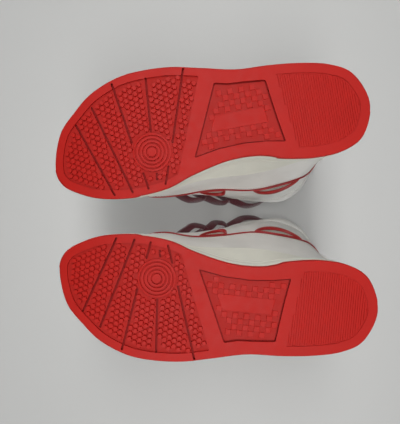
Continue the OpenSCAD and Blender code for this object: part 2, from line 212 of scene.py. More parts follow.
class Nodes:
    """Small helper that builds a node tree."""

    def __init__(self, name):
        self.mat = bpy.data.materials.new(name)
        self.mat.use_nodes = True
        self.t = self.mat.node_tree
        self.bsdf = self.t.nodes["Principled BSDF"]
        self.out = self.t.nodes["Material Output"]
        MATS[name] = self.mat

    def new(self, kind, **kw):
        n = self.t.nodes.new(kind)
        for k, v in kw.items():
            setattr(n, k, v)
        return n

    def link(self, a, b):
        self.t.links.new(a, b)

    def coords(self, scale=(1, 1, 1), uv=False):
        tc = self.new("ShaderNodeTexCoord")
        mp = self.new("ShaderNodeMapping")
        mp.inputs["Scale"].default_value = scale
        self.link(tc.outputs["UV" if uv else "Object"], mp.inputs["Vector"])
        return mp.outputs["Vector"]

    def noise(self, vec, scale, detail=3.0, rough=0.5):
        n = self.new("ShaderNodeTexNoise")
        n.inputs["Scale"].default_value = scale
        n.inputs["Detail"].default_value = detail
        n.inputs["Roughness"].default_value = rough
        self.link(vec, n.inputs["Vector"])
        return n.outputs["Fac"]

    def voronoi(self, vec, scale, feature="DISTANCE_TO_EDGE"):
        n = self.new("ShaderNodeTexVoronoi", feature=feature)
        n.inputs["Scale"].default_value = scale
        self.link(vec, n.inputs["Vector"])
        return n.outputs["Distance"]

    def ramp(self, fac, stops):
        n = self.new("ShaderNodeValToRGB")
        e = n.color_ramp.elements
        while len(e) < len(stops):
            e.new(0.5)
        for el, (p, c) in zip(e, stops):
            el.position, el.color = p, c
        self.link(fac, n.inputs["Fac"])
        return n.outputs["Color"]

    def math(self, op, a, b=None, clamp=False):
        n = self.new("ShaderNodeMath", operation=op, use_clamp=clamp)
        for i, v in enumerate((a, b)):
            if v is None:
                continue
            if isinstance(v, (int, float)):
                n.inputs[i].default_value = v
            else:
                self.link(v, n.inputs[i])
        return n.outputs[0]

    def bump(self, height, strength, dist, before=None):
        n = self.new("ShaderNodeBump")
        n.inputs["Strength"].default_value = strength
        n.inputs["Distance"].default_value = dist
        self.link(height, n.inputs["Height"])
        if before is not None:
            self.link(before, n.inputs["Normal"])
        return n.outputs["Normal"]

    def set(self, **kw):
        for k, v in kw.items():
            s = self.bsdf.inputs[k.replace("_", " ")]
            if hasattr(v, "is_linked"):
                self.link(v, s)
            else:
                s.default_value = v


def dark(c, k):
    return (c[0] * k, c[1] * k, c[2] * k, 1.0)


def leather(name, col, grain=900.0, rough=0.48, strength=0.35, spread=0.10):
    m = Nodes(name)
    v = m.coords()
    cells = m.voronoi(v, grain)
    fine = m.noise(v, grain * 1.7, 4.0, 0.6)
    broad = m.noise(v, 22.0, 4.0, 0.6)
    pores = m.math("MULTIPLY", cells, 1.6, clamp=True)
    h = m.math("ADD", pores, m.math("MULTIPLY", fine, 0.5))
    b = m.bump(h, strength, 0.0003)
    creases = m.noise(v, 60.0, 5.0, 0.65)
    b2 = m.bump(creases, 0.18, 0.0012, b)
    m.set(Base_Color=m.ramp(broad, [(0.30, dark(col, 1 - spread)), (0.62, col),
                                    (0.80, dark(col, 1 + spread * 0.4))]),
          Roughness=m.ramp(m.noise(v, 35.0, 3.0), [(0.3, (rough - .07,) * 3 + (1,)),
                                                  (0.7, (rough + .09,) * 3 + (1,))]),
          Normal=b2)
    m.set(Specular_IOR_Level=0.45)
    return m.mat


def rubber(name, col, rough=0.55):
    m = Nodes(name)
    v = m.coords()
    fine = m.noise(v, 2600.0, 3.0, 0.6)
    broad = m.noise(v, 28.0, 4.0, 0.6)
    dust = m.noise(v, 140.0, 5.0, 0.7)
    b = m.bump(fine, 0.25, 0.00015)
    b2 = m.bump(broad, 0.10, 0.0008, b)
    m.set(Base_Color=m.ramp(m.math("ADD", m.math("MULTIPLY", broad, 0.7), m.math("MULTIPLY", dust, 0.3)),
                            [(0.30, dark(col, 0.92)), (0.55, col), (0.80, dark(col, 1.05))]),
          Roughness=m.ramp(dust, [(0.35, (rough - .06,) * 3 + (1,)), (0.70, (rough + .10,) * 3 + (1,))]),
          Normal=b2)
    m.set(Specular_IOR_Level=0.2)
    return m.mat


def foam(name, col):
    m = Nodes(name)
    v = m.coords()
    fine = m.noise(v, 1500.0, 3.0, 0.6)
    broad = m.noise(v, 30.0, 4.0, 0.6)
    b = m.bump(fine, 0.2, 0.0002)
    m.set(Base_Color=m.ramp(broad, [(0.3, dark(col, 0.93)), (0.6, col), (0.85, dark(col, 1.03))]),
          Roughness=m.ramp(broad, [(0.3, (.5, .5, .5, 1)), (0.7, (.62, .62, .62, 1))]), Normal=b)
    return m.mat


def woven(name, col, pitch_u, pitch_v, rough=0.7, strength=0.8, sheen=0.3, deep=0.55, depth=0.0004):
    """Plain weave over UVs in metres; pitches are thread spacings in metres. deep sets the painted shade in
    the valleys between threads.
    """
    m = Nodes(name)
    v = m.coords(uv=True)
    sep = m.new("ShaderNodeSeparateXYZ")
    m.link(v, sep.inputs[0])
    su = m.math("SINE", m.math("MULTIPLY", sep.outputs[0], 2 * math.pi / pitch_u))
    sv = m.math("SINE", m.math("MULTIPLY", sep.outputs[1], 2 * math.pi / pitch_v))
    prod = m.math("MULTIPLY", su, sv)
    h = m.math("ADD", m.math("MULTIPLY", prod, 0.5), 0.5)
    fuzz = m.noise(m.coords(), 1800.0, 3.0, 0.6)
    hh = m.math("ADD", h, m.math("MULTIPLY", fuzz, 0.35))
    b = m.bump(hh, strength, depth)
    broad = m.noise(m.coords(), 40.0, 3.0)
    # colour follows the weave height: painted shade in the valleys between threads and a painted highlight
    # on the crossings, plus random tone from broad noise
    k = m.math("ADD", m.math("MULTIPLY", h, 0.6), m.math("MULTIPLY", broad, 0.5))
    m.set(Base_Color=m.ramp(k, [(0.15, dark(col, deep)), (0.55, col), (0.9, dark(col, 1.15))]),
          Roughness=m.ramp(fuzz, [(0.3, (rough - .08,) * 3 + (1,)), (0.7, (rough + .08,) * 3 + (1,))]),
          Normal=b)
    m.set(Sheen_Weight=sheen)
    return m.mat


def metal(name, col):
    m = Nodes(name)
    v = m.coords()
    n = m.noise(v, 300.0, 4.0, 0.6)
    m.set(Base_Color=m.ramp(n, [(0.3, dark(col, 0.85)), (0.7, col)]),
          Roughness=m.ramp(n, [(0.3, (.28, .28, .28, 1)), (0.75, (.45, .45, .45, 1))]),
          Normal=m.bump(n, 0.15, 0.0002))
    m.set(Metallic=1.0)
    return m.mat


RED = srgb(170, 24, 17)
leather("white_leather", srgb(222, 220, 215))
leather("upper_leather", srgb(222, 221, 216))
leather("overlay_leather", srgb(224, 222, 218))
leather("tongue_leather", srgb(206, 204, 199), grain=700.0, strength=0.45)
leather("red_leather", srgb(158, 34, 32), rough=0.42)
leather("red_piping", srgb(150, 30, 32), rough=0.4, grain=1400.0)
rubber("outsole_rubber", RED)
# recessed field floor between the studs and the pivot's sunk rings: darker rubber, painted shade in the
# recesses
rubber("recess_rubber_painted_shade", srgb(160, 24, 17), rough=0.65)
# sunk window floor and the walls of its border groove: darker rubber, painted shade in the recess
rubber("window_recess_painted_shade", srgb(158, 24, 17), rough=0.6)
# flex grooves and the window's border groove: much darker rubber, painted shade in the grooves
rubber("groove_rubber_painted_shade", srgb(124, 13, 10), rough=0.7)
foam("midsole_foam", srgb(218, 217, 205))
foam("collar_foam", srgb(205, 203, 198))
woven("lining_cloth", srgb(120, 116, 112), 0.0016, 0.0016, deep=0.6)
woven("sockliner_cloth", srgb(186, 182, 174), 0.0018, 0.0018, deep=0.7)
woven("board", srgb(180, 160, 122), 0.003, 0.003, deep=0.85, strength=0.3)
# vent net: its weave holes are painted near-black, painted shade for the dark seen through the open mesh
woven("mesh", srgb(176, 180, 166), 0.0022, 0.0022, deep=0.18, strength=1.0, depth=0.0008)
woven("red_webbing", srgb(150, 30, 32), 0.0014, 0.0020, deep=0.5, strength=1.0)
woven("lace_cloth", srgb(82, 8, 25), 0.0011, 0.0015, rough=0.36, deep=0.35, strength=0.8, sheen=0.15)
woven("thread", srgb(196, 191, 180), 0.0008, 0.0008, strength=0.4, deep=0.8)
woven("red_thread", srgb(140, 28, 30), 0.0008, 0.0008, strength=0.4, deep=0.8)
metal("eyelet_metal", srgb(200, 198, 194))
leather("lace_tip", srgb(84, 16, 30), rough=0.25, strength=0.05)


# ---------------------------------------------------------------- mesh helpers
class Geo:
    """Vertices in boot millimetres, faces and face-corner UVs in metres."""

    def __init__(self):
        self.v, self.f, self.uv, self.m, self.pins = [], [], [], [], []
        self.n = 0

    def add(self, verts, faces, uvs=None, mat=0):
        """uvs: one per vertex, or None."""
        verts = np.asarray(verts, float).reshape(-1, 3)
        uvs = np.zeros((len(verts), 2)) if uvs is None else np.asarray(uvs, float).reshape(-1, 2)
        self.v.append(verts)
        self.uv.append(uvs)
        self.f += [tuple(int(i) + self.n for i in f) for f in faces]
        self.m += [mat] * len(faces)
        self.n += len(verts)

    def points(self):
        return np.concatenate(self.v)


def make(name, geo, mats, side, smooth_angle=None, replaces=(), ride=None, blend=None):
    """Builds the mesh object of one side and queues it for hook_all."""
    pts = place(geo.points(), side)
    faces = geo.f if side == "left" else [f[::-1] for f in geo.f]
    me = bpy.data.meshes.new(f"{name}_{side}")
    me.from_pydata(pts.tolist(), [], faces)
    uv = np.concatenate(geo.uv)
    layer = me.uv_layers.new(name="UVMap")
    loops = np.zeros(len(me.loops), np.int32)
    me.loops.foreach_get("vertex_index", loops)
    layer.data.foreach_set("uv", uv[loops].astype(np.float32).ravel())
    for m in ([mats] if isinstance(mats, str) else mats):
        me.materials.append(MATS[m])
    me.polygons.foreach_set("material_index", np.array(geo.m, np.int32))
    me.polygons.foreach_set("use_smooth", np.ones(len(me.polygons), bool))
    me.update()
    ob = bpy.data.objects.new(f"{name}_{side}", me)
    bpy.context.scene.collection.objects.link(ob)
    if smooth_angle is not None:
        me.set_sharp_from_angle(angle=math.radians(smooth_angle))
    if replaces:
        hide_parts(*[f"{n}_{side}" for n in replaces])
    PENDING.append((ob, side, ride, blend))
    return ob


PENDING = []
# padded pieces: pressure, cap in metres
PADS = {"collar_roll": (4.0, 0.0022), "tongue_root": (4.0, 0.0014),
        "tongue_pad": (4.0, 0.0016)}


def inflate(ob, geo, pressure, cap):
    """Lets a padded piece swell as cloth, held along its seams, and keeps the swollen shape."""
    me = ob.data
    rest = np.zeros(len(me.vertices) * 3)
    me.vertices.foreach_get("co", rest)
    rest = rest.reshape(-1, 3)
    vg = ob.vertex_groups.new(name="seam")
    vg.add([int(i) for i in geo.pins], 1.0, "REPLACE")
    mod = ob.modifiers.new("puff", "CLOTH")
    st = mod.settings
    st.use_pressure, st.uniform_pressure_force = True, pressure
    st.vertex_group_mass = "seam"
    st.effector_weights.gravity = 0.0
    st.tension_stiffness = st.compression_stiffness = 12.0
    st.bending_stiffness = 0.4
    mod.collision_settings.use_collision = False
    scene = bpy.context.scene
    for f in range(1, 21):
        scene.frame_set(f)
    ev = ob.evaluated_get(bpy.context.evaluated_depsgraph_get())
    out = np.zeros(len(me.vertices) * 3)
    ev.data.vertices.foreach_get("co", out)
    out = out.reshape(-1, 3)
    ob.modifiers.remove(mod)
    ob.vertex_groups.remove(vg)
    move = np.nan_to_num(out - rest)
    far = np.linalg.norm(move, axis=1, keepdims=True)
    move *= np.minimum(1.0, cap / np.maximum(far, 1e-9))
    me.vertices.foreach_set("co", (rest + move).ravel())
    me.update()
    scene.frame_set(1)
FLEX_START, FLEX_END = -42.0, -80.0


def hook_all():
    """Hooks every piece to its body once its mesh is final; pieces given a flex range only have their
    transform baked.
    """
    for ob, side, ride, blend in PENDING:
        if blend:
            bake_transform(ob)
        else:
            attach(ob, f"{side}_{ride or 'boot'}")


def grid_faces(m, n, wrap=False, flip=False):
    cols = m if wrap else m - 1
    out = []
    for i in range(cols):
        k = (i + 1) % m
        for j in range(n - 1):
            q = (i * n + j, i * n + j + 1, k * n + j + 1, k * n + j)
            out.append(q[::-1] if flip else q)
    return out


def arc_len(p, axis):
    d = np.linalg.norm(np.diff(p, axis=axis), axis=-1)
    pad = [(0, 0), (0, 0)]
    pad[axis] = (1, 0)
    return np.pad(np.cumsum(d, axis=axis), pad)


def edge_dist(p, wrap):
    """Distance in mm of each grid point from the sheet's own border, and its UVs."""
    a, b = arc_len(p, 0), arc_len(p, 1)
    e_t = np.minimum(b, b[:, -1:] - b)
    e_u = np.full(a.shape, 1e3) if wrap else np.minimum(a, a[-1:, :] - a)
    return e_u, e_t, np.stack([a, b], -1) / 1000.0


def round_edge(e, r):
    x = np.clip(r - e, 0, r)
    return r - np.sqrt(np.maximum(r * r - x * x, 0))


def border_lines(n, mm, extra=(0.15, 0.4, 0.8, 1.6, 2.6)):
    """0..1 lines with extra lines near both ends, given the length in mm."""
    base = list(np.linspace(0, 1, n))
    for e in extra:
        base += [e / mm, 1 - e / mm]
    return np.array(sorted(set(round(x, 6) for x in base if 0 <= x <= 1)))


def double_skin(geo, outer, inner, uv, wrap=False, mat=0):
    """Adds two grids of points and the rim between them; returns the first new vertex."""
    m, n = outer.shape[:2]
    start, w = geo.n, m * n
    geo.add(outer, grid_faces(m, n, wrap), uv, mat)
    geo.add(inner, grid_faces(m, n, wrap, flip=True), uv, mat)
    rim = []
    for i in range(m if wrap else m - 1):
        k = (i + 1) % m
        rim.append((i * n, k * n, w + k * n, w + i * n))
        rim.append((k * n + n - 1, i * n + n - 1, w + i * n + n - 1, w + k * n + n - 1))
    if not wrap:
        for j in range(n - 1):
            rim.append((j + 1, j, w + j, w + j + 1))
            a = (m - 1) * n + j
            rim.append((a, a + 1, w + a + 1, w + a))
    geo.f += [tuple(start + i for i in f) for f in rim]
    geo.m += [mat] * len(rim)
    return start


def join_ends(geo, m, n, flip):
    """Closes the profile of the last added ring of m profiles with n points each."""
    start = geo.n - m * n
    for i in range(m):
        k = (i + 1) % m
        q = (start + i * n + n - 1, start + k * n + n - 1, start + k * n, start + i * n)
        geo.f.append(q[::-1] if flip else q)
    geo.m += [0] * m


def sheet_geo(geo, fn, ss, tt, d_out, d_in, wrap=False, edge_r=0.5, detail=None, mat=0):
    """Thin closed sheet on the skin. fn maps (s, t) grids to skin (u, t)."""
    s, t = np.meshgrid(ss, tt, indexing="ij")
    u, tk = fn(s, t)
    base = at(u, tk, 0.0)
    e_u, e_t, uv = edge_dist(base, wrap)
    e = np.minimum(e_u, e_t)
    nrm = normal_at(u, tk)
    d = d_out - round_edge(e, edge_r)
    if detail is not None:
        d = d + detail(base, e_u, e_t, s, t)
    outer = base + nrm * d[..., None]
    inner = base + nrm * np.asarray(d_in, float)[..., None]
    double_skin(geo, outer, inner, uv, wrap, mat)


def tube_geo(geo, p, r, sides=10, closed=False, mat=0, flat=1.0, nrm=None):
    """Round or flattened tube along points; flat scales it along nrm."""
    p = np.asarray(p, float)
    m = len(p)
    if closed:
        d = unit(np.roll(p, -1, 0) - np.roll(p, 1, 0))
    else:
        d = unit(np.gradient(p, axis=0))
    if nrm is None:
        up = np.where(np.abs(d[:, 2:3]) < 0.9, [[0, 0, 1.0]], [[1.0, 0, 0]])
        s = unit(np.cross(d, up))
        w = np.cross(s, d)
    else:
        s = unit(np.cross(d, nrm))
        w = np.cross(s, d)
    r = np.broadcast_to(np.asarray(r, float), (m,))
    a = np.arange(sides) * 2 * math.pi / sides
    ring = (p[:, None] + r[:, None, None] * (np.cos(a)[None, :, None] * s[:, None]
            + flat * np.sin(a)[None, :, None] * w[:, None]))
    acc = np.concatenate([[0], np.cumsum(np.linalg.norm(np.diff(p, axis=0), axis=1))]) / 1000
    uv = np.stack(np.broadcast_arrays(acc[:, None], a[None] * r.mean() / 1000), -1)
    faces = []
    for i in range(m if closed else m - 1):
        k = (i + 1) % m
        for j in range(sides):
            l = (j + 1) % sides
            faces.append((i * sides + j, k * sides + j, k * sides + l, i * sides + l))
    if not closed:
        faces.append(tuple(range(sides)))
        faces.append(tuple((m - 1) * sides + j for j in reversed(range(sides))))
    geo.add(ring, faces, uv, mat)


def stitches(geo, p, nrm, pitch=2.9, length=2.15, r=0.36, mat=0):
    """Row of thread stitches along a path, each a small tapered bead half sunk in the skin."""
    p, nrm = np.asarray(p, float), np.asarray(nrm, float)
    acc = np.concatenate([[0], np.cumsum(np.linalg.norm(np.diff(p, axis=0), axis=1))])
    count = int(acc[-1] / pitch)
    prof = [(-0.5, 0.25, -0.35), (-0.32, 0.8, 0.0), (0, 1.0, 0.18), (0.32, 0.8, 0.0), (0.5, 0.25, -0.35)]
    for i in range(count):
        x = (i + 0.5) * pitch
        c = np.array([np.interp(x, acc, p[:, k]) for k in range(3)])
        q = np.array([np.interp(x + 0.4, acc, p[:, k]) for k in range(3)])
        n = unit(np.array([np.interp(x, acc, nrm[:, k]) for k in range(3)]))
        d = unit(q - c)
        side = np.cross(d, n)
        ring = []
        for (a, rr, lift) in prof:
            for k in range(6):
                ang = k * math.pi / 3
                ring.append(c + d * a * length + n * (lift * r + r * rr * 0.8 * math.sin(ang))
                            + side * r * rr * math.cos(ang))
        faces = [(i0 * 6 + k, (i0 + 1) * 6 + k, (i0 + 1) * 6 + (k + 1) % 6, i0 * 6 + (k + 1) % 6)
                 for i0 in range(4) for k in range(6)]
        faces += [tuple(range(6)), tuple(24 + k for k in reversed(range(6)))]
        geo.add(ring, faces, None, mat)


# ---------------------------------------------------------------- sole
OUTLINE = np.array([[-6, 145], [21, 135], [33, 116], [39, 90], [42, 62], [43.5, 32], [50, 2],
                    [56, -27], [57, -56], [54, -77], [45, -100], [33, -116.5], [15, -135],
                    [-13, -145], [-30, -141], [-41, -126], [-49, -106], [-53, -77], [-51, -47],
                    [-43, -22], [-36, 10], [-36, 38], [-42, 62], [-46, 90], [-44, 116],
                    [-33, 135]], float)
OUTSOLE_T, BALL_T, HEEL_T, SPRING = 6.0, 7.0, 12.0, 7.0


def outline(d, n=312):
    """Sole outline moved inward by d mm; a number or one value per point."""
    u = np.arange(n) * len(OUTLINE) / n
    a = closed_spline(OUTLINE, u + 0.1) - closed_spline(OUTLINE, u - 0.1)
    nrm = unit(np.stack([a[:, 1], -a[:, 0]], 1))
    p = closed_spline(OUTLINE, u)
    return p + nrm * np.broadcast_to(np.asarray(d, float), (n,))[:, None]


def spring_z(y):
    return np.where(y > -70, 0, SPRING * (np.clip(-70 - y, 0, None) / 75) ** 2)


def base_z(y):
    return spring_z(y) + OUTSOLE_T


def top_z(y):
    return base_z(y) + lerp(BALL_T, HEEL_T, clamp01((y + 60) / 130))


def inside(poly, pts):
    """Even-odd test of many points against a polygon."""
    poly, pts = np.asarray(poly, float), np.asarray(pts, float)
    x, y = pts[:, 0][:, None], pts[:, 1][:, None]
    x1, y1 = poly[:, 0][None], poly[:, 1][None]
    x2, y2 = np.roll(poly[:, 0], -1)[None], np.roll(poly[:, 1], -1)[None]
    cross = (y1 > y) != (y2 > y)
    with np.errstate(divide="ignore", invalid="ignore"):
        xi = (x2 - x1) * (y - y1) / (y2 - y1) + x1
    return (cross & (x < xi)).sum(1) % 2 == 1


def poly_dist(poly, pts):
    """Distance of points from a polygon's outline."""
    a = np.asarray(poly, float)
    b = np.roll(a, -1, 0)
    p = np.asarray(pts, float)[:, None]
    ab = (b - a)[None]
    t = clamp01(((p - a[None]) * ab).sum(-1) / np.maximum((ab ** 2).sum(-1), 1e-9))
    return np.linalg.norm(p - (a[None] + t[..., None] * ab), axis=-1).min(1)


def lattice(step):
    """Square grid of points over the sole."""
    gx, gy = np.meshgrid(np.arange(-60, 61, step), np.arange(-146, 147, step))
    return np.stack([gx.ravel(), gy.ravel()], 1)


def flat_cap(g, loop, step, gap, height, up, uvs=False):
    """Fills a closed loop with an even mesh at the given height."""
    st = lattice(step)
    v, f = cdt([loop], st[inside(loop, st) & (poly_dist(loop, st) > gap)])
    f = f[inside(loop, v[f].mean(1))]
    faces = [tuple(t) if up else tuple(t[::-1]) for t in f]
    g.add(np.column_stack([v, height(v)]), faces, v / 1000 if uvs else None)


def cdt(loops, steiner):
    """Mesh of points and closed loops, with the loops kept as edges."""
    pts, edges = [], []
    for lp in loops:
        n0 = len(pts)
        pts += [Vector((float(a), float(b))) for a, b in lp]
        edges += [(n0 + i, n0 + (i + 1) % len(lp)) for i in range(len(lp))]
    pts += [Vector((float(a), float(b))) for a, b in steiner]
    v, _, f, *_ = delaunay_2d_cdt(pts, edges, [], 0, 1e-4)
    return np.array([tuple(p) for p in v]), np.array([tuple(t) for t in f])


def slot_poly(a, b, w):
    """Straight slot with rounded ends."""
    a, b = np.array(a, float), np.array(b, float)
    d = unit(b - a)
    n = np.array([-d[1], d[0]])
    out = []
    for c, s in ((b, 1), (a, -1)):
        for k in range(7):
            g = (-90 + 30 * k) * math.pi / 180
            out.append(c + w / 2 * (s * d * math.cos(g) + s * n * math.sin(g)))
    return np.array(out)


def round_poly(p, r, seg=5):
    """Polygon with its corners cut round."""
    p = np.asarray(p, float)
    out = []
    for i in range(len(p)):
        a, b, c = p[i - 1], p[i], p[(i + 1) % len(p)]
        ra = min(r, 0.45 * np.linalg.norm(a - b), 0.45 * np.linalg.norm(c - b))
        s, e = b + unit(a - b) * ra, b + unit(c - b) * ra
        for k in range(seg + 1):
            t = k / seg
            out.append((1 - t) ** 2 * s + 2 * t * (1 - t) * b + t * t * e)
    return np.array(out)


PIVOT = np.array([-16.3, -55.0])
PIVOT_R = 17.3
GROOVES = [((20.3, -119.2), (-48.4, -94.9)), ((32.8, -101.9), (-48.8, -78.4)),
           ((50.0, -80.0), (-4.5, -71.6)), ((49.5, -49.2), (2.8, -52.9)),
           ((53.0, -14.3), (-10.5, -35.4)), ((-33.6, -66.1), (-48.0, -63.7)),
           ((-36.0, -54.2), (-41.0, -55.0)), ((-31.5, -42.8), (-46.5, -47.9))]
GROOVE_W = 1.9
WINDOW = round_poly([[35.4, 10.5], [32.6, 22], [31.6, 38], [30, 56.5], [10, 59], [-8, 61.5],
                     [-28, 65], [-25, 48], [-23.4, 28], [-24.3, 5], [-28.4, -18.5], [-10, -10],
                     [12, 0]], 2.0)


def cut_outline(inset, a, b, front, r):
    """Inset outline cut by the line from a to b, keeping its front or its back part."""
    o = outline(inset)
    a, b = np.array(a), np.array(b)
    n = np.array([-(b - a)[1], (b - a)[0]])
    keep = ((o - a) @ n) > 0
    if (o[keep][:, 1].mean() > 0) == front:
        keep = ~keep
    k = int(np.argmax(keep & ~np.roll(keep, 1)))
    return round_poly(np.roll(o, -k, 0)[np.roll(keep, -k)], r, 2)


def inset_poly(p, d):
    """Polygon moved inward by d."""
    a = unit(np.roll(p, -1, 0) - np.roll(p, 1, 0))
    n = np.stack([a[:, 1], -a[:, 0]], 1)
    q = p + n * d
    return q if inside(p, q).mean() > 0.5 else p - n * d


WINDOW_IN = inset_poly(WINDOW, 1.15)
EDGE_Z = 2.3
# studded forefoot field and ribbed heel field
FIELD = cut_outline(7.2, [41.0, -1.0], [-36.0, -33.5], True, 1.2)
HEEL = cut_outline(8.6, [36.0, 65.6], [-40.0, 73.2], False, 2.0)
RIM_Z, FIELD_Z, STUD_Z, HEEL_Z, RIB_Z, WINDOW_Z, GROOVE_Z = 0.0, 1.6, 0.15, 0.75, 0.2, 1.7, 3.4


def medial_lip(n=312):
    """The rubber lip stands 0.9 mm proud round the heel and the forefoot, not at the waist."""
    p = outline(0, n)
    med = p[:, 0] < -15
    gap = smooth((p[:, 1] + 76) / 4) * smooth((57 - p[:, 1]) / 4)
    return np.where(med, -0.9 * (1 - gap), -0.5)


def outsole_geo():
    g = Geo()
    lip = medial_lip()
    rim0 = outline(lip + 1.2)
    grooves = [slot_poly(a, b, GROOVE_W) for a, b in GROOVES]
    ang = np.arange(72) * 2 * math.pi / 72
    disc = PIVOT + PIVOT_R * np.stack([np.cos(ang), np.sin(ang)], 1)
    st = lattice(4.5)
    st = st[inside(rim0, st) & (poly_dist(rim0, st) > 1.2)]
    for lp in [disc, WINDOW, WINDOW_IN, FIELD, HEEL, *grooves]:
        st = st[poly_dist(lp, st) > 0.8]
    v, f = cdt([rim0, FIELD, HEEL, WINDOW, WINDOW_IN, disc, *grooves], st)
    c = v[f].mean(1)
    keep = inside(rim0, c)
    f, c = f[keep], c[keep]
    z = np.full(len(c), RIM_Z)
    z[inside(FIELD, c)] = FIELD_Z
    z[inside(HEEL, c)] = HEEL_Z
    z[inside(WINDOW, c)] = EDGE_Z
    z[inside(WINDOW_IN, c)] = WINDOW_Z
    for p in grooves:
        z[inside(p, c)] = GROOVE_Z
    in_disc = inside(disc, c)
    # terraces: every level has its own copy of the vertices it uses
    index, verts, faces, mats = {}, [], [], []

    def vid(i, zz):
        if (i, zz) not in index:
            index[(i, zz)] = len(verts)
            verts.append((v[i][0], v[i][1], zz + float(spring_z(v[i][1]))))
        return index[(i, zz)]
    edge = {}
    for k, t in enumerate(f):
        if in_disc[k]:
            zk = None
        else:
            zk = z[k]
            faces.append(tuple(vid(i, zk) for i in t[::-1]))
            # the recessed levels take the darker rubbers: painted shade
            mats.append({FIELD_Z: 1, GROOVE_Z: 2, WINDOW_Z: 3, EDGE_Z: 2}.get(zk, 0))
        for a, b in ((t[0], t[1]), (t[1], t[2]), (t[2], t[0])):
            edge.setdefault((min(a, b), max(a, b)), []).append((zk, a, b))
    for users in edge.values():
        if len(users) == 2:
            (z1, a, b), (z2, _, _) = users
            if z1 is None and z2 is None:
                continue
            if z1 is None or z2 is None:
                z1 = RIM_Z + 0.25 if z1 is None else z1
                z2 = RIM_Z + 0.25 if z2 is None else z2
            if z1 != z2:
                q = (vid(a, z1), vid(b, z1), vid(b, z2), vid(a, z2))
                faces.append(q)
                # walls of the grooves and of the window border take the darker rubbers too: painted shade
                mats.append(2 if GROOVE_Z in (z1, z2) else 3 if EDGE_Z in (z1, z2) else 0)
    g.add(verts, faces, [(a / 1000, b / 1000) for a, b, _ in verts])
    g.m = mats
    # rounded edge, side wall and hidden top
    prof = [(1.2, 0.0), (0.65, 0.12), (0.25, 0.45), (0.0, 1.1), (0.0, 2.6), (0.05, 4.4), (0.35, 5.4),
            (1.0, 5.95)]
    n = len(rim0)
    rings = []
    for inset, zz in prof:
        o = outline(lip + inset)
        rings.append(np.column_stack([o, zz + spring_z(o[:, 1])]))
    ring = np.stack(rings, 1)
    g.add(ring, grid_faces(n, len(prof), True, flip=True),
          np.stack(np.broadcast_arrays(np.arange(n)[:, None] * 0.0027,
                                       np.arange(len(prof))[None] * 0.001), -1), 0)
    top = outline(lip + 1.0)
    tv, tf = cdt([top], st[poly_dist(top, st) > 2][::3])
    tc = tv[tf].mean(1)
    tf = tf[inside(top, tc)]
    g.add(np.column_stack([tv, 5.95 + spring_z(tv[:, 1])]), [tuple(t) for t in tf])
    # pivot disc: concentric rings
    prof = [(PIVOT_R, 0.25), (16.6, 0.0), (15.6, 0.0), (15.3, 1.3), (14.3, 1.3), (14.0, 0.0),
            (12.2, 0.0), (11.9, 1.3), (10.9, 1.3), (10.6, 0.0), (8.9, 0.0), (8.6, 1.3), (7.6, 1.3),
            (7.3, 0.0), (5.5, 0.0), (5.2, 1.3), (4.3, 1.3), (4.0, 0.0), (0.01, 0.0)]
    pv = [[(PIVOT[0] + r * math.cos(a), PIVOT[1] + r * math.sin(a), zz) for r, zz in prof] for a in ang]
    g.add(pv, grid_faces(72, len(prof), True), None, 0)
    ring_m = [1 if prof[j][1] > 0.5 and prof[j + 1][1] > 0.5 else 0 for j in range(len(prof) - 1)]
    g.m[-72 * len(ring_m):] = ring_m * 72
    # hexagonal studs
    add_studs(g, grooves)
    add_ribs(g)
    add_checker(g)
    return g


def prism(g, base, top, z0, z1, mat):
    """Small stud: base outline at z0 (deep) to top outline at z1 (ground side)."""
    n = len(base)
    b = np.column_stack([base, np.full(n, z0) + spring_z(base[:, 1])])
    t = np.column_stack([top, np.full(n, z1) + spring_z(top[:, 1])])
    faces = [(i, (i + 1) % n, n + (i + 1) % n, n + i) for i in range(n)]
    faces.append(tuple(range(n, 2 * n)))
    g.add(np.concatenate([b, t]), [f[::-1] for f in faces], None, mat)


def add_studs(g, grooves):
    pitch = 5.15
    rows = np.arange(-150, 10, pitch * 0.866)
    cs = []
    for j, y in enumerate(rows):
        for x in np.arange(-60, 61, pitch):
            cs.append((x + (pitch / 2 if j % 2 else 0), y))
    cs = np.array(cs)
    cs = cs[inside(FIELD, cs) & (poly_dist(FIELD, cs) > 1.9)]
    cs = cs[np.linalg.norm(cs - PIVOT, axis=1) > PIVOT_R + 1.9]
    for p in grooves:
        cs = cs[(poly_dist(p, cs) > 1.7) & ~inside(p, cs)]
    a = (np.arange(6) * 60 + 30) * math.pi / 180
    hexa = np.stack([np.cos(a), np.sin(a)], 1)
    for c in cs:
        prism(g, c + hexa * 2.6, c + hexa * 2.05, FIELD_Z, STUD_Z, 0)


def add_ribs(g):
    pitch, w = 2.1, 1.15
    ys = np.arange(60, 145, pitch)
    for y in ys:
        xs = np.linspace(-50, 50, 401)
        pts = np.stack([xs, np.full(401, y)], 1)
        ok = inside(HEEL, pts) & (poly_dist(HEEL, pts) > 0.7)
        if ok.sum() < 8:
            continue
        x0, x1 = xs[ok].min(), xs[ok].max()
        base = np.array([(x0, y - w / 2), (x1, y - w / 2), (x1, y + w / 2), (x0, y + w / 2)])
        top = np.array([(x0 + .3, y - w / 2 + .25), (x1 - .3, y - w / 2 + .25),
                        (x1 - .3, y + w / 2 - .25), (x0 + .3, y + w / 2 - .25)])
        prism(g, base, top, HEEL_Z, RIB_Z, 0)


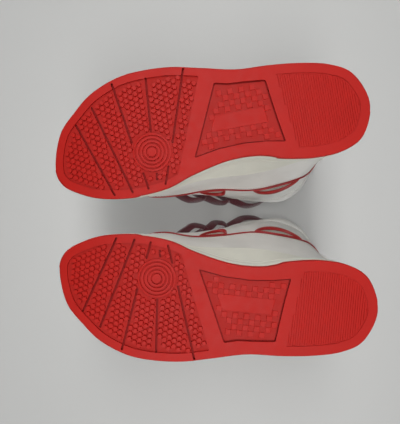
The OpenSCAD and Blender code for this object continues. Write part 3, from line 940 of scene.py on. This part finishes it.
def add_checker(g):
    """Raised and sunk squares round a plain band across the waist window."""
    size = 5.1
    for i in range(-9, 10):
        for j in range(-3, 16):
            if (i + j) % 2:
                continue
            x, y = i * size, j * size - 2
            if 7.2 > x > -8.5 and poly_dist(WINDOW, [[x, y]])[0] > 6.5:
                continue
            sq = np.array([(x - size / 2, y - size / 2), (x + size / 2, y - size / 2),
                           (x + size / 2, y + size / 2), (x - size / 2, y + size / 2)])
            if not (inside(WINDOW, sq).all() and poly_dist(WINDOW, sq).min() > 1.3):
                continue
            top = sq + (np.array([[x, y]]) - sq) * 0.12
            prism(g, sq, top, WINDOW_Z, WINDOW_Z - 0.55, 0)
    band = []
    ys = np.linspace(-30, 75, 106)
    for x in (6.4, -7.6):
        pts = np.stack([np.full(106, x), ys], 1)
        ok = inside(WINDOW, pts) & (poly_dist(WINDOW, pts) > 7.5)
        band.append((ys[ok].min(), ys[ok].max()))
    base = np.array([(6.4, band[0][0]), (6.4, band[0][1]), (-7.6, band[1][1]), (-7.6, band[1][0])])
    mid = base.mean(0)
    prism(g, base[::-1], (base + unit(mid - base) * 0.5)[::-1], WINDOW_Z, WINDOW_Z - 0.3, 0)


def midsole_geo():
    g = Geo()
    n = 312
    prof = [(1.6, 0.0), (0.5, 0.02), (0.1, 0.10), (-0.2, 0.30), (-0.35, 0.52), (-0.3, 0.66),
            (0.15, 0.70), (0.15, 0.75), (-0.35, 0.79), (-0.35, 0.90), (0.0, 0.97), (0.9, 1.0), (3.0, 1.0)]
    o0 = outline(0, n)
    waist = smooth((o0[:, 1] + 40) / 30) * smooth((85 - o0[:, 1]) / 30) * (o0[:, 0] < -15)
    rings = []
    for inset, k in prof:
        o = outline(inset - 0.35 - waist * 2.2 * k, n)
        lo, hi = base_z(o[:, 1]) + 0.02, top_z(o[:, 1])
        rings.append(np.column_stack([o, lerp(lo, hi, k)]))
    ring = np.stack(rings, 1)
    a = np.cumsum(np.linalg.norm(np.diff(o0, axis=0, prepend=o0[-1:]), axis=1)) / 1000
    uv = np.stack(np.broadcast_arrays(a[:, None], np.array([k for _, k in prof])[None] * 0.012), -1)
    g.add(ring, grid_faces(n, len(prof), True, flip=True), uv)
    for k, inset in ((0.0, 1.6), (1.0, 3.0)):
        o = outline(inset - 0.35 - waist * 2.2 * k, n)
        flat_cap(g, o, 9.0, 3, lambda v, k=k: lerp(base_z(v[:, 1]) + 0.02, top_z(v[:, 1]), k), k > 0)
    return g


def slab_geo(inset, lo, hi, edge=0.8):
    """Board or sockliner: a flat layer with rounded edges that follows the sole."""
    g = Geo()
    n = 200
    prof = [(edge, 0.0), (0.1, 0.15), (0.0, 0.5), (0.1, 0.85), (edge, 1.0)]
    rings = []
    for e, k in prof:
        o = outline(inset + e, n)
        rings.append(np.column_stack([o, lerp(lo(o), hi(o), k)]))
    g.add(np.stack(rings, 1), grid_faces(n, len(prof), True, flip=True))
    for k in (0.0, 1.0):
        flat_cap(g, outline(inset + edge, n), 5.0, 2, lambda v, k=k: lerp(lo(v), hi(v), k), k > 0, True)
    return g


# ---------------------------------------------------------------- upper
def crease(p):
    """Soft creases over the vamp where the boot bends, and slight ripples elsewhere."""
    y = p[..., 1]
    vamp = np.exp(-((y + 70) / 16.0) ** 2) * smooth((p[..., 2] - 28) / 20)
    w = np.sin((y + 0.35 * np.abs(p[..., 0] + 15)) * 2 * math.pi / 9.5)
    return vamp * w * 0.38 + 0.30 * wave_noise(p, 46.0, 3) + 0.10 * wave_noise(p, 15.0, 5)


def lower_panel_geo():
    g = Geo()
    ss = np.linspace(0, 12, 241)[:-1]
    tt = np.concatenate([np.linspace(-0.05, 0.94, 35), [0.965, 0.985, 0.995, 1.0]])

    def detail(p, eu, et, s, t):
        return crease(p) * smooth(et / 6) - 0.25 * np.exp(-((et - 3.2) / 0.5) ** 2) * (t > 0.5)
    sheet_geo(g, lambda s, t: (s, t), ss, tt, 0.0, -LEATHER, wrap=True, edge_r=0.5, detail=detail)
    return g


THROAT_L, THROAT_R = 6.22, 17.78


def horseshoe(s, t):
    return lerp(THROAT_L, THROAT_R, s), t


def upper_panel_geo():
    g = Geo()
    ss = border_lines(400, 420.0)
    tt = np.concatenate([[1.002, 1.008], np.arange(1.016, 1.40, 0.008), np.linspace(1.41, 1.74, 16)])

    def detail(p, eu, et, s, t):
        w = (0.32 * wave_noise(p, 40.0, 7) + 0.12 * wave_noise(p, 14.0, 8))
        return w * smooth(et / 5) * smooth(eu / 5) - 1.3 * vent_depth(*horseshoe(s, t))
    sheet_geo(g, horseshoe, ss, tt, 0.0, -LEATHER - 0.3, edge_r=0.5, detail=detail)
    return g


def collar_geo():
    """Padded collar roll: outer skin over the top to the inside, closed at the throat ends."""
    g = Geo()
    ss = border_lines(150, 380.0)
    prof = []
    for k in np.linspace(0, 1, 12):
        t = lerp(1.742, 1.985, k)
        puff = 1.5 * math.sin(math.pi * k) ** 0.7
        prof.append((t, -0.1 + puff))
    for a in (35, 70, 105, 140):
        r = 2.9
        prof.append((1.985 + 0.045 * math.sin(math.radians(a)), -0.1 - r * (1 - math.cos(math.radians(a)))))
    for k in np.linspace(0, 1, 10):
        t = lerp(1.985, 1.742, k)
        prof.append((t, -6.3 - 1.4 * math.sin(math.pi * k) ** 0.7 + 2.2 * max(0, k - 0.7) / 0.3))
    m, n = len(ss), len(prof)
    s = ss[:, None]
    t = np.array([p[0] for p in prof])[None]
    d = np.array([p[1] for p in prof])[None]
    u, tk = horseshoe(np.broadcast_to(s, (m, n)), np.broadcast_to(t, (m, n)))
    thin = np.clip(np.minimum(s, 1 - s) * 420 / 14.0, 0, 1) ** 0.6
    dd = lerp(-0.7, d, lerp(0.28, 1.0, thin))
    p = at(u, tk, dd)
    p = p + normal_at(u, tk) * (0.25 * wave_noise(p, 22.0, 11))[..., None]
    a, b = arc_len(p, 0), arc_len(p, 1)
    g.add(p, grid_faces(m, n), np.stack([a, b], -1) / 1000)
    start = g.n - m * n
    close = [(i * n + n - 1, (i + 1) * n + n - 1, (i + 1) * n, i * n) for i in range(m - 1)]
    g.f += [tuple(start + i for i in f[::-1]) for f in close]
    g.f.append(tuple(start + j for j in range(n)))
    g.f.append(tuple(start + (m - 1) * n + j for j in reversed(range(n))))
    g.m += [0] * (len(close) + 2)
    g.pins = [start + i * n + j for i in range(m) for j in (0, 1, 11, n - 2, n - 1)]
    g.pins += [start + i * n + j for i in (0, 1, m - 2, m - 1) for j in range(n)]
    return g


def overlay(fn, ns, nt, mm_s, mm_t, lift=0.22, thick=OVERLAY, wave=0.2, seed=1):
    g = Geo()
    ss, tt = border_lines(ns, mm_s), border_lines(nt, mm_t)

    def detail(p, eu, et, s, t):
        e = np.minimum(eu, et)
        return wave * wave_noise(p, 36.0, seed) * smooth(e / 6) - 0.28 * np.exp(-((e - 2.4) / 0.45) ** 2)
    sheet_geo(g, fn, ss, tt, lift + thick, lift - 0.25, edge_r=0.55, detail=detail)
    return g


def toe_cap_fn(s, t):
    u = lerp(4.65, 7.7, s)
    top = 0.50 + 0.09 * np.sin(math.pi * s) ** 2
    return u, lerp(-0.05, top, t)


def heel_cup_fn(s, t):
    u = lerp(10.9, 13.1, s)
    top = 0.66 + 0.14 * np.sin(math.pi * s) ** 1.5
    return u, lerp(-0.05, top, t)


EYES = 6


def eye_t(i):
    return lerp(1.2, 1.93, i / (EYES - 1.0))


def scallop(t):
    """Throat edge of the eyestays: one soft lobe per eyelet."""
    return 0.045 * np.cos((t - eye_t(0)) / (eye_t(1) - eye_t(0)) * 2 * math.pi)


def eyestay_fn(side):
    def fn(s, t):
        tt = lerp(1.03, 1.995, t)
        inner = 0.34 - scallop(tt)
        outer = 1.12 + 0.14 * (1 - t) ** 2
        return 6 + side * lerp(inner, outer, s if side > 0 else 1 - s), tt
    if side > 0:
        return fn

    def fl(s, t):
        tt = lerp(1.03, 1.995, t)
        inner = 0.34 - scallop(tt)
        outer = 1.12 + 0.14 * (1 - t) ** 2
        return 6 - lerp(outer, inner, s), tt
    return fl


def backstay_fn(s, t):
    return lerp(-0.26, 0.26, s) * (1 - 0.35 * t), lerp(1.03, 1.99, t)


def arch_fn(s, t):
    u = lerp(8.05, 10.55, s)
    top = 0.40 * np.sin(math.pi * clamp01(s)) ** 0.6 + 0.02
    return u, t * top


# start, end, height and upper rim of each half-moon vent, in stations and levels
VENTS = [(8.68, 9.12, 0.30, 0.09), (9.56, 10.6, 0.34, 0.10), (2.44, 1.4, 0.34, 0.10),
         (3.32, 2.88, 0.30, 0.09)]
VENT_LOW = 1.016


def vent_loop(v, k, n=96):
    """Border of a vent: k = 0 outside its rim, 1 inside it."""
    a = np.arange(n) * 2 * math.pi / n
    s = 0.5 - (0.5 - 0.07 * k) * np.cos(a)
    g = np.clip(-np.sin(a), 0, 1) ** 1.15
    t = VENT_LOW + 0.022 * k + (v[2] - 0.022 * k - v[3] * k) * g
    return lerp(v[0], v[1], s), t


def vent_depth(u, t):
    """1 inside a vent's opening, 0 on the leather, with a soft step under the rim."""
    out = np.zeros(np.shape(u))
    uu = turn(u)
    for v in VENTS:
        s = (uu - v[0]) / (v[1] - v[0])
        c = np.clip(1 - ((s - 0.5) / 0.455) ** 2, 0, 1) ** 0.5
        top = VENT_LOW + 0.01 + (v[2] - 0.02 - v[3] * 0.62) * c ** 1.15
        k = smooth((t - VENT_LOW - 0.002) / 0.016) * smooth((top - t) / 0.02) * (c > 0)
        out = np.maximum(out, k)
    return out


def vent_rims_geo():
    """Rolled red leather binding round each half-moon: a narrow lower side, a broad upper one."""
    g = Geo()
    for v in VENTS:
        o, i = vent_loop(v, 0), vent_loop(v, 1)
        rings = []
        for k, d in ((0.0, 0.0), (0.0, 0.5), (0.06, 1.1), (0.2, 1.65), (0.4, 1.95), (0.6, 1.95),
                     (0.8, 1.65), (0.94, 1.0), (1.0, 0.2), (1.0, -1.9), (0.8, -1.9)):
            rings.append(at(lerp(o[0], i[0], k), lerp(o[1], i[1], k), d))
        ring = np.stack(rings, 1)
        m, n = ring.shape[:2]
        uv = np.stack([arc_len(ring, 0), arc_len(ring, 1)], -1) / 1000
        g.add(ring, grid_faces(m, n, True, flip=v[0] < v[1]), uv)
        join_ends(g, m, n, flip=v[0] < v[1])
    return g


def vent_mesh_geo():
    g = Geo()
    for v in VENTS:
        def fn(s, t, v=v):
            c = np.clip(1 - ((s - 0.5) / 0.47) ** 2, 0.0, 1) ** 0.5
            top = VENT_LOW + 0.012 + (v[2] - 0.02 - v[3] * 0.55) * c ** 1.15
            return lerp(v[0], v[1], s), lerp(VENT_LOW + 0.004, top, t)
        ns = np.linspace(0.035, 0.965, 60) if v[0] < v[1] else np.linspace(0.965, 0.035, 60)
        sheet_geo(g, fn, ns, np.linspace(0, 1, 24), -0.75, -1.15, edge_r=0.1,
                  detail=lambda p, eu, et, s, t: 0.5 * np.sin(math.pi * t) - 0.5 * smooth((t - .55) / .4))
    return g


def lining_geo():
    g = Geo()
    ss = np.linspace(0, 12, 181)[:-1]
    tt = np.linspace(0.06, 0.998, 24)
    d = -LEATHER - 0.5
    sheet_geo(g, lambda s, t: (s, t), ss, tt, d, d - 1.2, wrap=True, edge_r=0.3)
    tt = np.concatenate([[1.003], np.linspace(1.02, 1.76, 22)])

    s, t = np.meshgrid(np.linspace(0, 1, 160), tt, indexing="ij")
    u, tk = horseshoe(s, t)
    k = 4.5 * clamp01((tk - 1.55) / 0.2) * clamp01((np.abs(turn(u) - 6) - 1.2) / 0.8)
    outer, inner = at(u, tk, d - k), at(u, tk, d - 1.2 - k)
    uv = edge_dist(outer, False)[2]
    double_skin(g, outer, inner, uv)
    return g


TONGUE_D = -LEATHER - 0.5 - 1.2 - 0.6
TONGUE_LOW, TONGUE_TOP = 2.72, 5.3
# where the root ends and the pad starts, as parts of the tongue's length
ROOT_END, PAD_START = 0.49, 0.43


def tongue_geo(a, b):
    """Padded tongue: crowned channels across it, rising above the collar. Its root is sewn to the vamp; the
    rest is a piece of its own."""
    g = Geo()
    us = np.linspace(0, 1, 61)
    vs = np.linspace(a, b, int(120 * (b - a)) + 1)
    s, t = np.meshgrid(us, vs, indexing="ij")
    v = lerp(TONGUE_LOW, TONGUE_TOP, t)
    half = 1.05 - 0.34 * np.clip((t - 0.88) / 0.12, 0, 1) ** 2.4
    u = 6 + (s - 0.5) * 2 * half
    p = skin(u, v)
    n = skin_normal(u, v)
    e_u, e_t, uv = edge_dist(p, False)
    e = np.minimum(e_u, e_t)
    edge = np.sqrt(np.clip(1 - (1 - np.clip(e / 3.2, 0, 1)) ** 2, 0, 1))
    chan = np.abs(np.sin((t - 0.12) * math.pi * 9)) ** 0.5
    pad = np.where((t > 0.12) & (np.abs(s - 0.5) < 0.36), lerp(0.55, 1.0, chan), 0.8)
    th = 3.4 * edge * pad
    mid = TONGUE_D - 1.7 - (1.1 * smooth((0.52 - t) / 0.06) if a > 0 else 0.0)
    outer = p + n * (mid + th / 2)[..., None]
    inner = p + n * (mid - 1.7 * edge)[..., None]
    start = double_skin(g, outer, inner, uv)
    w = outer.shape[0] * outer.shape[1]
    held = np.where(((e < 1.2) | (chan < 0.35) & (np.abs(s - 0.5) < 0.36) & (t > 0.12)).ravel())[0]
    g.pins = [start + i for i in held] + [start + w + i for i in held]
    return g


def piping_geo():
    g = Geo()
    u = np.linspace(0, 12, 361)[:-1]
    tube_geo(g, at(u, np.full(360, 1.0), 0.75), 0.85, 10, closed=True)
    return g


def eyelets_geo():
    g = Geo()
    prof = [(2.0, -0.6), (1.95, 0.2), (2.15, 0.55), (2.6, 0.72), (3.1, 0.62), (3.45, 0.35), (3.55, 0.0),
            (3.3, -0.1), (2.4, -0.1)]
    for side in (-1, 1):
        for i in range(EYES):
            u, t = 6 + side * 0.58, eye_t(i)
            c, n = at(u, t, OVERLAY + 0.30), normal_at(u, t)
            a = unit(np.cross(n, [0, 1.0, 0]))
            b = np.cross(n, a)
            k = 28
            ring = [[c + r * (math.cos(2 * math.pi * j / k) * a + math.sin(2 * math.pi * j / k) * b) + n * z
                     for r, z in prof] for j in range(k)]
            g.add(ring, grid_faces(k, len(prof), True, flip=True))
            join_ends(g, k, len(prof), flip=True)
    return g


LACE_W, LACE_T = 4.1, 0.75


def lace_path(i, side):
    """One crossing run, from eyelet i on one side over the throat to eyelet i + 1 on the other."""
    k = np.linspace(0, 1, 33)
    s = lerp(-1, 1, k) * side
    u = 6 + s * 0.58
    t = lerp(eye_t(i), eye_t(i + 1), smooth(k) * 0.35 + k * 0.65)
    bow = np.sin(math.pi * k)
    end = 1 - np.clip(np.minimum(k, 1 - k) / 0.09, 0, 1)
    lift = OVERLAY + 1.9 + (3.4 if side > 0 else 1.2) * bow ** 0.8 - 2.6 * end ** 2
    p = at(u, t, lift)
    p = p + np.array([-1.0, 0, 0]) * (4.2 * bow * clamp01(0.2 + 0.8 * (1 + s) / 2))[:, None]
    return p, normal_at(u, t)


# slack loops on the medial side: first eyelet, last eyelet (or None) and the points between
LOOPS = {
    "left": [(1, 2, [(-57, -38, 84), (-62.5, -27, 88), (-60, -17, 91)]),
             (2, 4, [(-62, -12, 96), (-70, 2, 106), (-69, 12, 112)]),
             (4, None, [(-70, 20, 124), (-79.5, 37, 134), (-80, 52, 144), (-76.5, 62, 152)])],
    "right": [(1, 2, [(-56, -38, 84), (-63.5, -27, 89), (-59, -15, 92)]),
              (2, 4, [(-61, -12, 96), (-68.5, -3, 106), (-66, 10, 112)]),
              (4, None, [(-68, 18, 126), (-77, 33, 139), (-79, 50, 146), (-76, 60, 152)])],
}


def open_spline(p, n):
    p = np.asarray(p, float)
    q = np.concatenate([[2 * p[0] - p[1]], p, [2 * p[-1] - p[-2]]])
    u = np.linspace(0, len(p) - 1, n)
    i = np.clip(np.floor(u).astype(int), 0, len(p) - 2)
    w = cr_weights(u - i)
    return (w[..., None] * q[i[:, None] + np.arange(4)]).sum(1)


def add_loop(g, a, b, mid):
    """A slack bight of flat lace from one eyelet to the next, or over the collar."""
    u = 6.58
    p0, n0 = at(u, eye_t(a), OVERLAY + 0.6), normal_at(u, eye_t(a))
    pts = [p0 - n0 * 1.2, p0 + n0 * 2.6] + [np.array(m, float) for m in mid]
    if b is None:
        pts += [np.array([-71.0, 63.0, 150.0]), np.array([-68.5, 62.5, 141.0])]
    else:
        p1, n1 = at(u, eye_t(b), OVERLAY + 0.6), normal_at(u, eye_t(b))
        pts += [p1 + n1 * 2.6, p1 - n1 * 1.2]
    p = open_spline(pts, 64)
    k = np.linspace(0, 1, 64)
    out = np.array([-0.78, -0.1, -0.62]) + 0.3 * np.stack([np.sin(k * 7.0), np.zeros(64),
                                                           np.zeros(64)], 1)
    w = np.interp(k, [0, 0.12, 0.3, 0.75, 0.9, 1], [1.7, 3.2, LACE_W + 1.1, LACE_W + 1.1, 3.2, 1.7])
    tube_geo(g, p, w, 14, nrm=unit(out), flat=0.26)


def lace_end(side):
    """Tied-off end of the lace, tucked down between the top run and the tongue."""
    k = np.linspace(0, 1, 34)
    u = 6 + side * lerp(0.58, 0.16, smooth(k * 1.4))
    t = lerp(eye_t(EYES - 1), 1.82, smooth(k)) + 0.055 * np.sin(math.pi * k)
    d = lerp(OVERLAY + 1.9, TONGUE_D + 2.9, smooth(k * 1.25)) + 1.4 * np.sin(math.pi * clamp01(k * 1.6))
    return at(u, t, d), normal_at(u, t)


def tips_geo():
    """Moulded sheath on each lace end."""
    g = Geo()
    for side in (-1, 1):
        p, _ = lace_end(side)
        d = unit(p[-1] - p[-4])
        k = np.linspace(0, 1, 22)
        q = p[-1] - d + d * (k * 13.0)[:, None]
        r = 1.3 * np.sqrt(np.clip(1 - ((np.abs(k - 0.5) - 0.44).clip(0) / 0.065) ** 2, 0.05, 1))
        tube_geo(g, q, r - 0.14 * np.exp(-((k - 0.12) / 0.03) ** 2), 14)
    return g


def laces_geo():
    g = Geo()
    for i in range(EYES - 1):
        for side in (1, -1):
            p, n = lace_path(i, side)
            w = np.interp(np.linspace(0, 1, len(p)), [0, 0.1, 0.3, 0.7, 0.9, 1],
                          [1.7, 2.6, LACE_W, LACE_W, 2.6, 1.7])
            tube_geo(g, p, w, 12, nrm=n, flat=LACE_T / LACE_W)
    for a, b, c in LOOPS[SIDE["name"]]:
        add_loop(g, a, b, c)
    for side in (-1, 1):
        p, n = lace_end(side)
        k = len(p)
        tube_geo(g, p, np.interp(np.arange(k), [0, 5, k - 8, k - 1], [1.8, 3.4, 3.2, 1.15]), 12,
                 nrm=n, flat=0.24)
    return g


TAB_PATH = np.array([[2.4, -6], [2.45, -1], [2.4, 4], [0.9, 9], [1.8, 16], [6, 20], [10.2, 16], [10.6, 9],
                     [7, 3], [4.1, -1], [3.9, -6]])


def pull_tab_geo():
    g = Geo()
    c = at(0.0, 1.93, 0.0)
    # a smooth loop through the path's own points
    u = np.linspace(1, len(TAB_PATH) - 2, 64)
    p = closed_spline(TAB_PATH, u)
    pts = np.array([[c[0], c[1] + a, c[2] + b] for a, b in p])
    ww = np.linspace(-7, 7, 15)
    d = unit(np.gradient(pts, axis=0))
    nrm = np.stack([np.zeros(len(pts)), d[:, 2], -d[:, 1]], 1)
    e = np.minimum(ww + 7, 7 - ww)
    th = 0.75 - round_edge(e, 0.6) * 0.6
    outer = pts[:, None] + np.array([1.0, 0, 0]) * ww[None, :, None] + nrm[:, None] * th[None, :, None]
    inner = pts[:, None] + np.array([1.0, 0, 0]) * ww[None, :, None] - nrm[:, None] * th[None, :, None]
    uv = edge_dist(outer, False)[2]
    double_skin(g, outer, inner, uv)
    return g


def seam_threads():
    """White stitch rows: a list of (points, normals) pairs."""
    rows = []

    def row(fn, d, a=0.0, b=1.0, n=220):
        s = np.linspace(a, b, n)
        u, t = fn(s)
        rows.append((at(u, t, d), normal_at(u, t)))
    top = OVERLAY + 0.17
    # toe cap edge
    row(lambda s: toe_cap_fn(s, np.full_like(s, 0.925)), top, 0.03, 0.97)
    # heel cup edge
    row(lambda s: heel_cup_fn(s, np.full_like(s, 0.955)), top, 0.03, 0.97)
    for side in (-1, 1):
        f = eyestay_fn(side)
        row(lambda s, f=f: f(np.full_like(s, 0.12), s), top, 0.02, 0.98)
        row(lambda s, f=f: f(np.full_like(s, 0.88), s), top, 0.02, 0.98)
    # seam below the piping, all round
    row(lambda s: (s * 12, np.full_like(s, 0.957)), 0.0, 0, 1, 700)
    # seam above the piping
    row(lambda s: (lerp(6.6, 17.4, s), np.full_like(s, 1.045)), 0.05, 0, 1, 600)
    # under the collar roll
    row(lambda s: (lerp(6.9, 17.1, s), np.full_like(s, 1.715)), 0.06, 0, 1, 600)
    return rows


def threads_geo():
    g = Geo()
    for p, n in seam_threads():
        stitches(g, p, n)
    return g


def red_threads_geo():
    g = Geo()
    for x in (0.14, 0.86):
        s = np.linspace(0.02, 0.98, 60)
        u, t = backstay_fn(np.full_like(s, x), s)
        stitches(g, at(u, t, OVERLAY + 0.05), normal_at(u, t), 2.4, 1.8, 0.24)
    return g


# ---------------------------------------------------------------- camera and stage
PHOTO_W, PHOTO_H = 400, 424
CAM = dict(x=0.0013, y=-0.0138, dist=0.325, roll=math.radians(2.2), focal_px=362.5)


def make_camera():
    cam = bpy.data.cameras.new("camera")
    ob = bpy.data.objects.new("camera", cam)
    bpy.context.scene.collection.objects.link(ob)
    r = CAM["roll"]
    right = Vector((-math.sin(r), math.cos(r), 0))
    up = Vector((math.cos(r), math.sin(r), 0))
    back = Vector((0, 0, -1))
    m = Matrix((right, up, back)).transposed().to_4x4()
    m.translation = Vector((CAM["x"], CAM["y"], -CAM["dist"]))
    ob.matrix_world = m
    cam.sensor_width = 36.0
    cam.lens = 36.0 * CAM["focal_px"] / max(PHOTO_W, PHOTO_H)
    cam.clip_start, cam.clip_end = 0.01, 50
    bpy.context.scene.camera = ob


def stage_material(name, col, fade=False):
    """Pale board that is there only for the side that faces the boots; it can fade out edge-on."""
    m = Nodes(name)
    n = m.noise(m.coords(), 3.0, 3.0)
    m.set(Base_Color=m.ramp(n, [(0.3, dark(col, 0.985)), (0.7, col)]), Roughness=0.6)
    geo = m.new("ShaderNodeNewGeometry")
    clear = m.new("ShaderNodeBsdfTransparent")
    mixer = m.new("ShaderNodeMixShader")
    if fade:
        weight = m.new("ShaderNodeLayerWeight")
        weight.inputs["Blend"].default_value = 0.5
        away = m.ramp(weight.outputs["Facing"], [(0.42, (0, 0, 0, 1)), (0.62, (1, 1, 1, 1))])
        most = m.new("ShaderNodeMath", operation="MAXIMUM")
        m.link(geo.outputs["Backfacing"], most.inputs[0])
        m.link(away, most.inputs[1])
        m.link(most.outputs[0], mixer.inputs[0])
    else:
        m.link(geo.outputs["Backfacing"], mixer.inputs[0])
    if fade:
        m.link(m.bsdf.outputs[0], mixer.inputs[1])
    else:
        # far out the board runs into the pale surroundings
        glow = m.new("ShaderNodeEmission")
        glow.inputs["Color"].default_value = (0.92, 0.94, 0.96, 1)
        glow.inputs["Strength"].default_value = 0.62
        length = m.new("ShaderNodeVectorMath", operation="LENGTH")
        m.link(m.coords(), length.inputs[0])
        reach = m.new("ShaderNodeMapRange", interpolation_type="SMOOTHSTEP")
        reach.inputs["From Min"].default_value, reach.inputs["From Max"].default_value = 0.35, 1.5
        m.link(length.outputs["Value"], reach.inputs["Value"])
        blend = m.new("ShaderNodeMixShader")
        m.link(reach.outputs["Result"], blend.inputs[0])
        m.link(m.bsdf.outputs[0], blend.inputs[1])
        m.link(glow.outputs[0], blend.inputs[2])
        m.link(blend.outputs[0], mixer.inputs[1])
    m.link(clear.outputs[0], mixer.inputs[2])
    m.link(mixer.outputs[0], m.out.inputs["Surface"])
    return m.mat


def make_plane(name, z, up, mat, size=3.0):
    me = bpy.data.meshes.new(name)
    q = [(-size, -size, z), (size, -size, z), (size, size, z), (-size, size, z)]
    me.from_pydata(q, [], [(0, 1, 2, 3) if up else (3, 2, 1, 0)])
    me.materials.append(mat)
    ob = bpy.data.objects.new(name, me)
    bpy.context.scene.collection.objects.link(ob)
    ob.visible_shadow = ob.visible_glossy = False
    return ob


def area(name, loc, target, size, power, size_y=None):
    li = bpy.data.lights.new(name, "AREA")
    li.shape, li.size, li.energy = "RECTANGLE" if size_y else "DISK", size, power
    if size_y:
        li.size_y = size_y
    ob = bpy.data.objects.new(name, li)
    bpy.context.scene.collection.objects.link(ob)
    ob.location = loc
    ob.rotation_mode = "QUATERNION"
    ob.rotation_quaternion = (Vector(loc) - Vector(target)).to_track_quat("Z", "Y")
    return ob


def make_stage():
    top = CAD_BOX[1][2] + 0.001
    floor = make_plane("floor", -0.0003, True, stage_material("floor_board", srgb(205, 205, 203)))
    floor.visible_diffuse = False
    make_plane("table_top", top, False, stage_material("table_board", srgb(192, 192, 190), fade=True))
    area("below_main", (0.0, 0.0, -1.05), (0, 0, 0.1), 2.2, 17, size_y=0.36)
    area("below_side_a", (1.05, 0.25, -0.55), (0, 0, 0.05), 0.6, 1.6)
    area("below_side_b", (-1.05, 0.2, -0.55), (0, 0, 0.05), 0.6, 1.4)
    area("above_key", (0.6, -0.9, 1.3), (0, 0, 0.08), 0.9, 13)
    area("above_fill", (-1.0, 0.4, 0.9), (0, 0, 0.08), 1.0, 6)
    w = bpy.data.worlds.new("studio")
    w.use_nodes = True
    bg = w.node_tree.nodes["Background"]
    bg.inputs[0].default_value = (0.92, 0.94, 0.96, 1)
    path = w.node_tree.nodes.new("ShaderNodeLightPath")
    level_of = w.node_tree.nodes.new("ShaderNodeMath")
    level_of.operation = "MULTIPLY_ADD"
    w.node_tree.links.new(path.outputs["Is Camera Ray"], level_of.inputs[0])
    level_of.inputs[1].default_value, level_of.inputs[2].default_value = 0.46, 0.16
    w.node_tree.links.new(level_of.outputs[0], bg.inputs[1])
    bpy.context.scene.world = w
    bpy.context.scene.view_settings.view_transform = "Standard"


# ---------------------------------------------------------------- build
def build():
    flex = (FLEX_START, FLEX_END)
    pieces = lambda: [
        ("sole_rubber", outsole_geo(), ["outsole_rubber", "recess_rubber_painted_shade", "groove_rubber_painted_shade",
                                        "window_recess_painted_shade"], "outsole_rubber", 30, ["outsole"], None, flex),
        ("sole_foam", midsole_geo(), "midsole_foam", "midsole_foam", 40, ["midsole"], None, flex),
        ("inner_board", slab_geo(11, lambda o: top_z(o[:, 1]) + 0.2, lambda o: top_z(o[:, 1]) + 2.2),
         "board", "board", 40, ["insole_board"], None, flex),
        ("inner_sole", slab_geo(13, lambda o: top_z(o[:, 1]) + 2.4, lambda o: top_z(o[:, 1]) + 6.2, 1.6),
         "sockliner_cloth", "sockliner_cloth", 50, ["sockliner"], None, flex),
        ("vamp_quarters", lower_panel_geo(), "white_leather", "white_leather", 60, ["lower_panel"],
         None, flex),
        ("shaft_panel", upper_panel_geo(), "upper_leather", "upper_leather", 60, ["upper_panel"],
         None, flex),
        ("collar_roll", collar_geo(), "upper_leather", "collar_foam", 80, ["collar_pad"], None, None),
        ("toe_overlay", overlay(toe_cap_fn, 70, 22, 110.0, 30.0), "overlay_leather",
         "overlay_leather", 60, ["toe_cap"], "toe", None),
        ("heel_overlay", overlay(heel_cup_fn, 70, 30, 105.0, 50.0, seed=4), "overlay_leather",
         "overlay_leather", 60, ["heel_cup"], None, None),
        ("stay_outer", overlay(eyestay_fn(-1), 16, 120, 16.0, 120.0, seed=6), "overlay_leather",
         "overlay_leather", 60, ["eyestay_lateral"], None, flex),
        ("stay_inner", overlay(eyestay_fn(1), 16, 120, 16.0, 120.0, seed=8), "overlay_leather",
         "overlay_leather", 60, ["eyestay_medial"], None, flex),
        ("waist_wall", overlay(arch_fn, 60, 14, 140.0, 22.0, thick=1.5, wave=0.05), "midsole_foam",
         "midsole_foam", 60, ["arch_wing"], None, flex),
        ("inner_lining", lining_geo(), "lining_cloth", "lining_cloth", 60, ["lining"], None, flex),
        ("tongue_root", tongue_geo(0.0, ROOT_END), "tongue_leather",
         "tongue_leather", 60, [], None, flex),
        ("tongue_pad", tongue_geo(PAD_START, 1.0), "tongue_leather",
         "tongue_leather", 60, ["tongue"], "tongue", None),
        ("seam_piping", piping_geo(), "red_piping", "red_piping", None, ["piping"], None, flex),
        ("vent_bands", vent_rims_geo(), "red_leather", "red_leather", 50, ["vent_rims"], None, flex),
        ("vent_net", vent_mesh_geo(), "mesh", "mesh", 50, ["vent_mesh"], None, flex),
        ("back_strip", overlay(backstay_fn, 10, 40, 14.0, 60.0, seed=9), "red_leather",
         "red_leather", 60, ["backstay"], None, None),
        ("heel_loop", pull_tab_geo(), "red_webbing", "red_webbing", 50, ["pull_tab"], "pull_tab", None),
        ("eye_rings", eyelets_geo(), "eyelet_metal", "eyelet_metal", 40, ["eyelets"], None, flex),
        ("flat_laces", laces_geo(), "lace_cloth", "lace_cloth", None, ["laces"], None, flex),
        ("lace_ends", tips_geo(), "lace_tip", "lace_tip", None, ["lace_tips"], None, flex),
        ("stitching", threads_geo(), "thread", "white_leather", None, [], None, flex),
        ("back_stitching", red_threads_geo(), "red_thread", "red_leather", None, [], None, None),
    ]
    for side in SIDES:
        SIDE["name"] = side
        for name, geo, mats, slot, ang, rep, ride, blend in pieces():
            ob = make(name, geo, mats, side, ang, rep, ride, blend)
            if name in PADS:
                inflate(ob, geo, *PADS[name])


make_camera()
make_stage()
build()
hook_all()
bpy.context.view_layer.update()
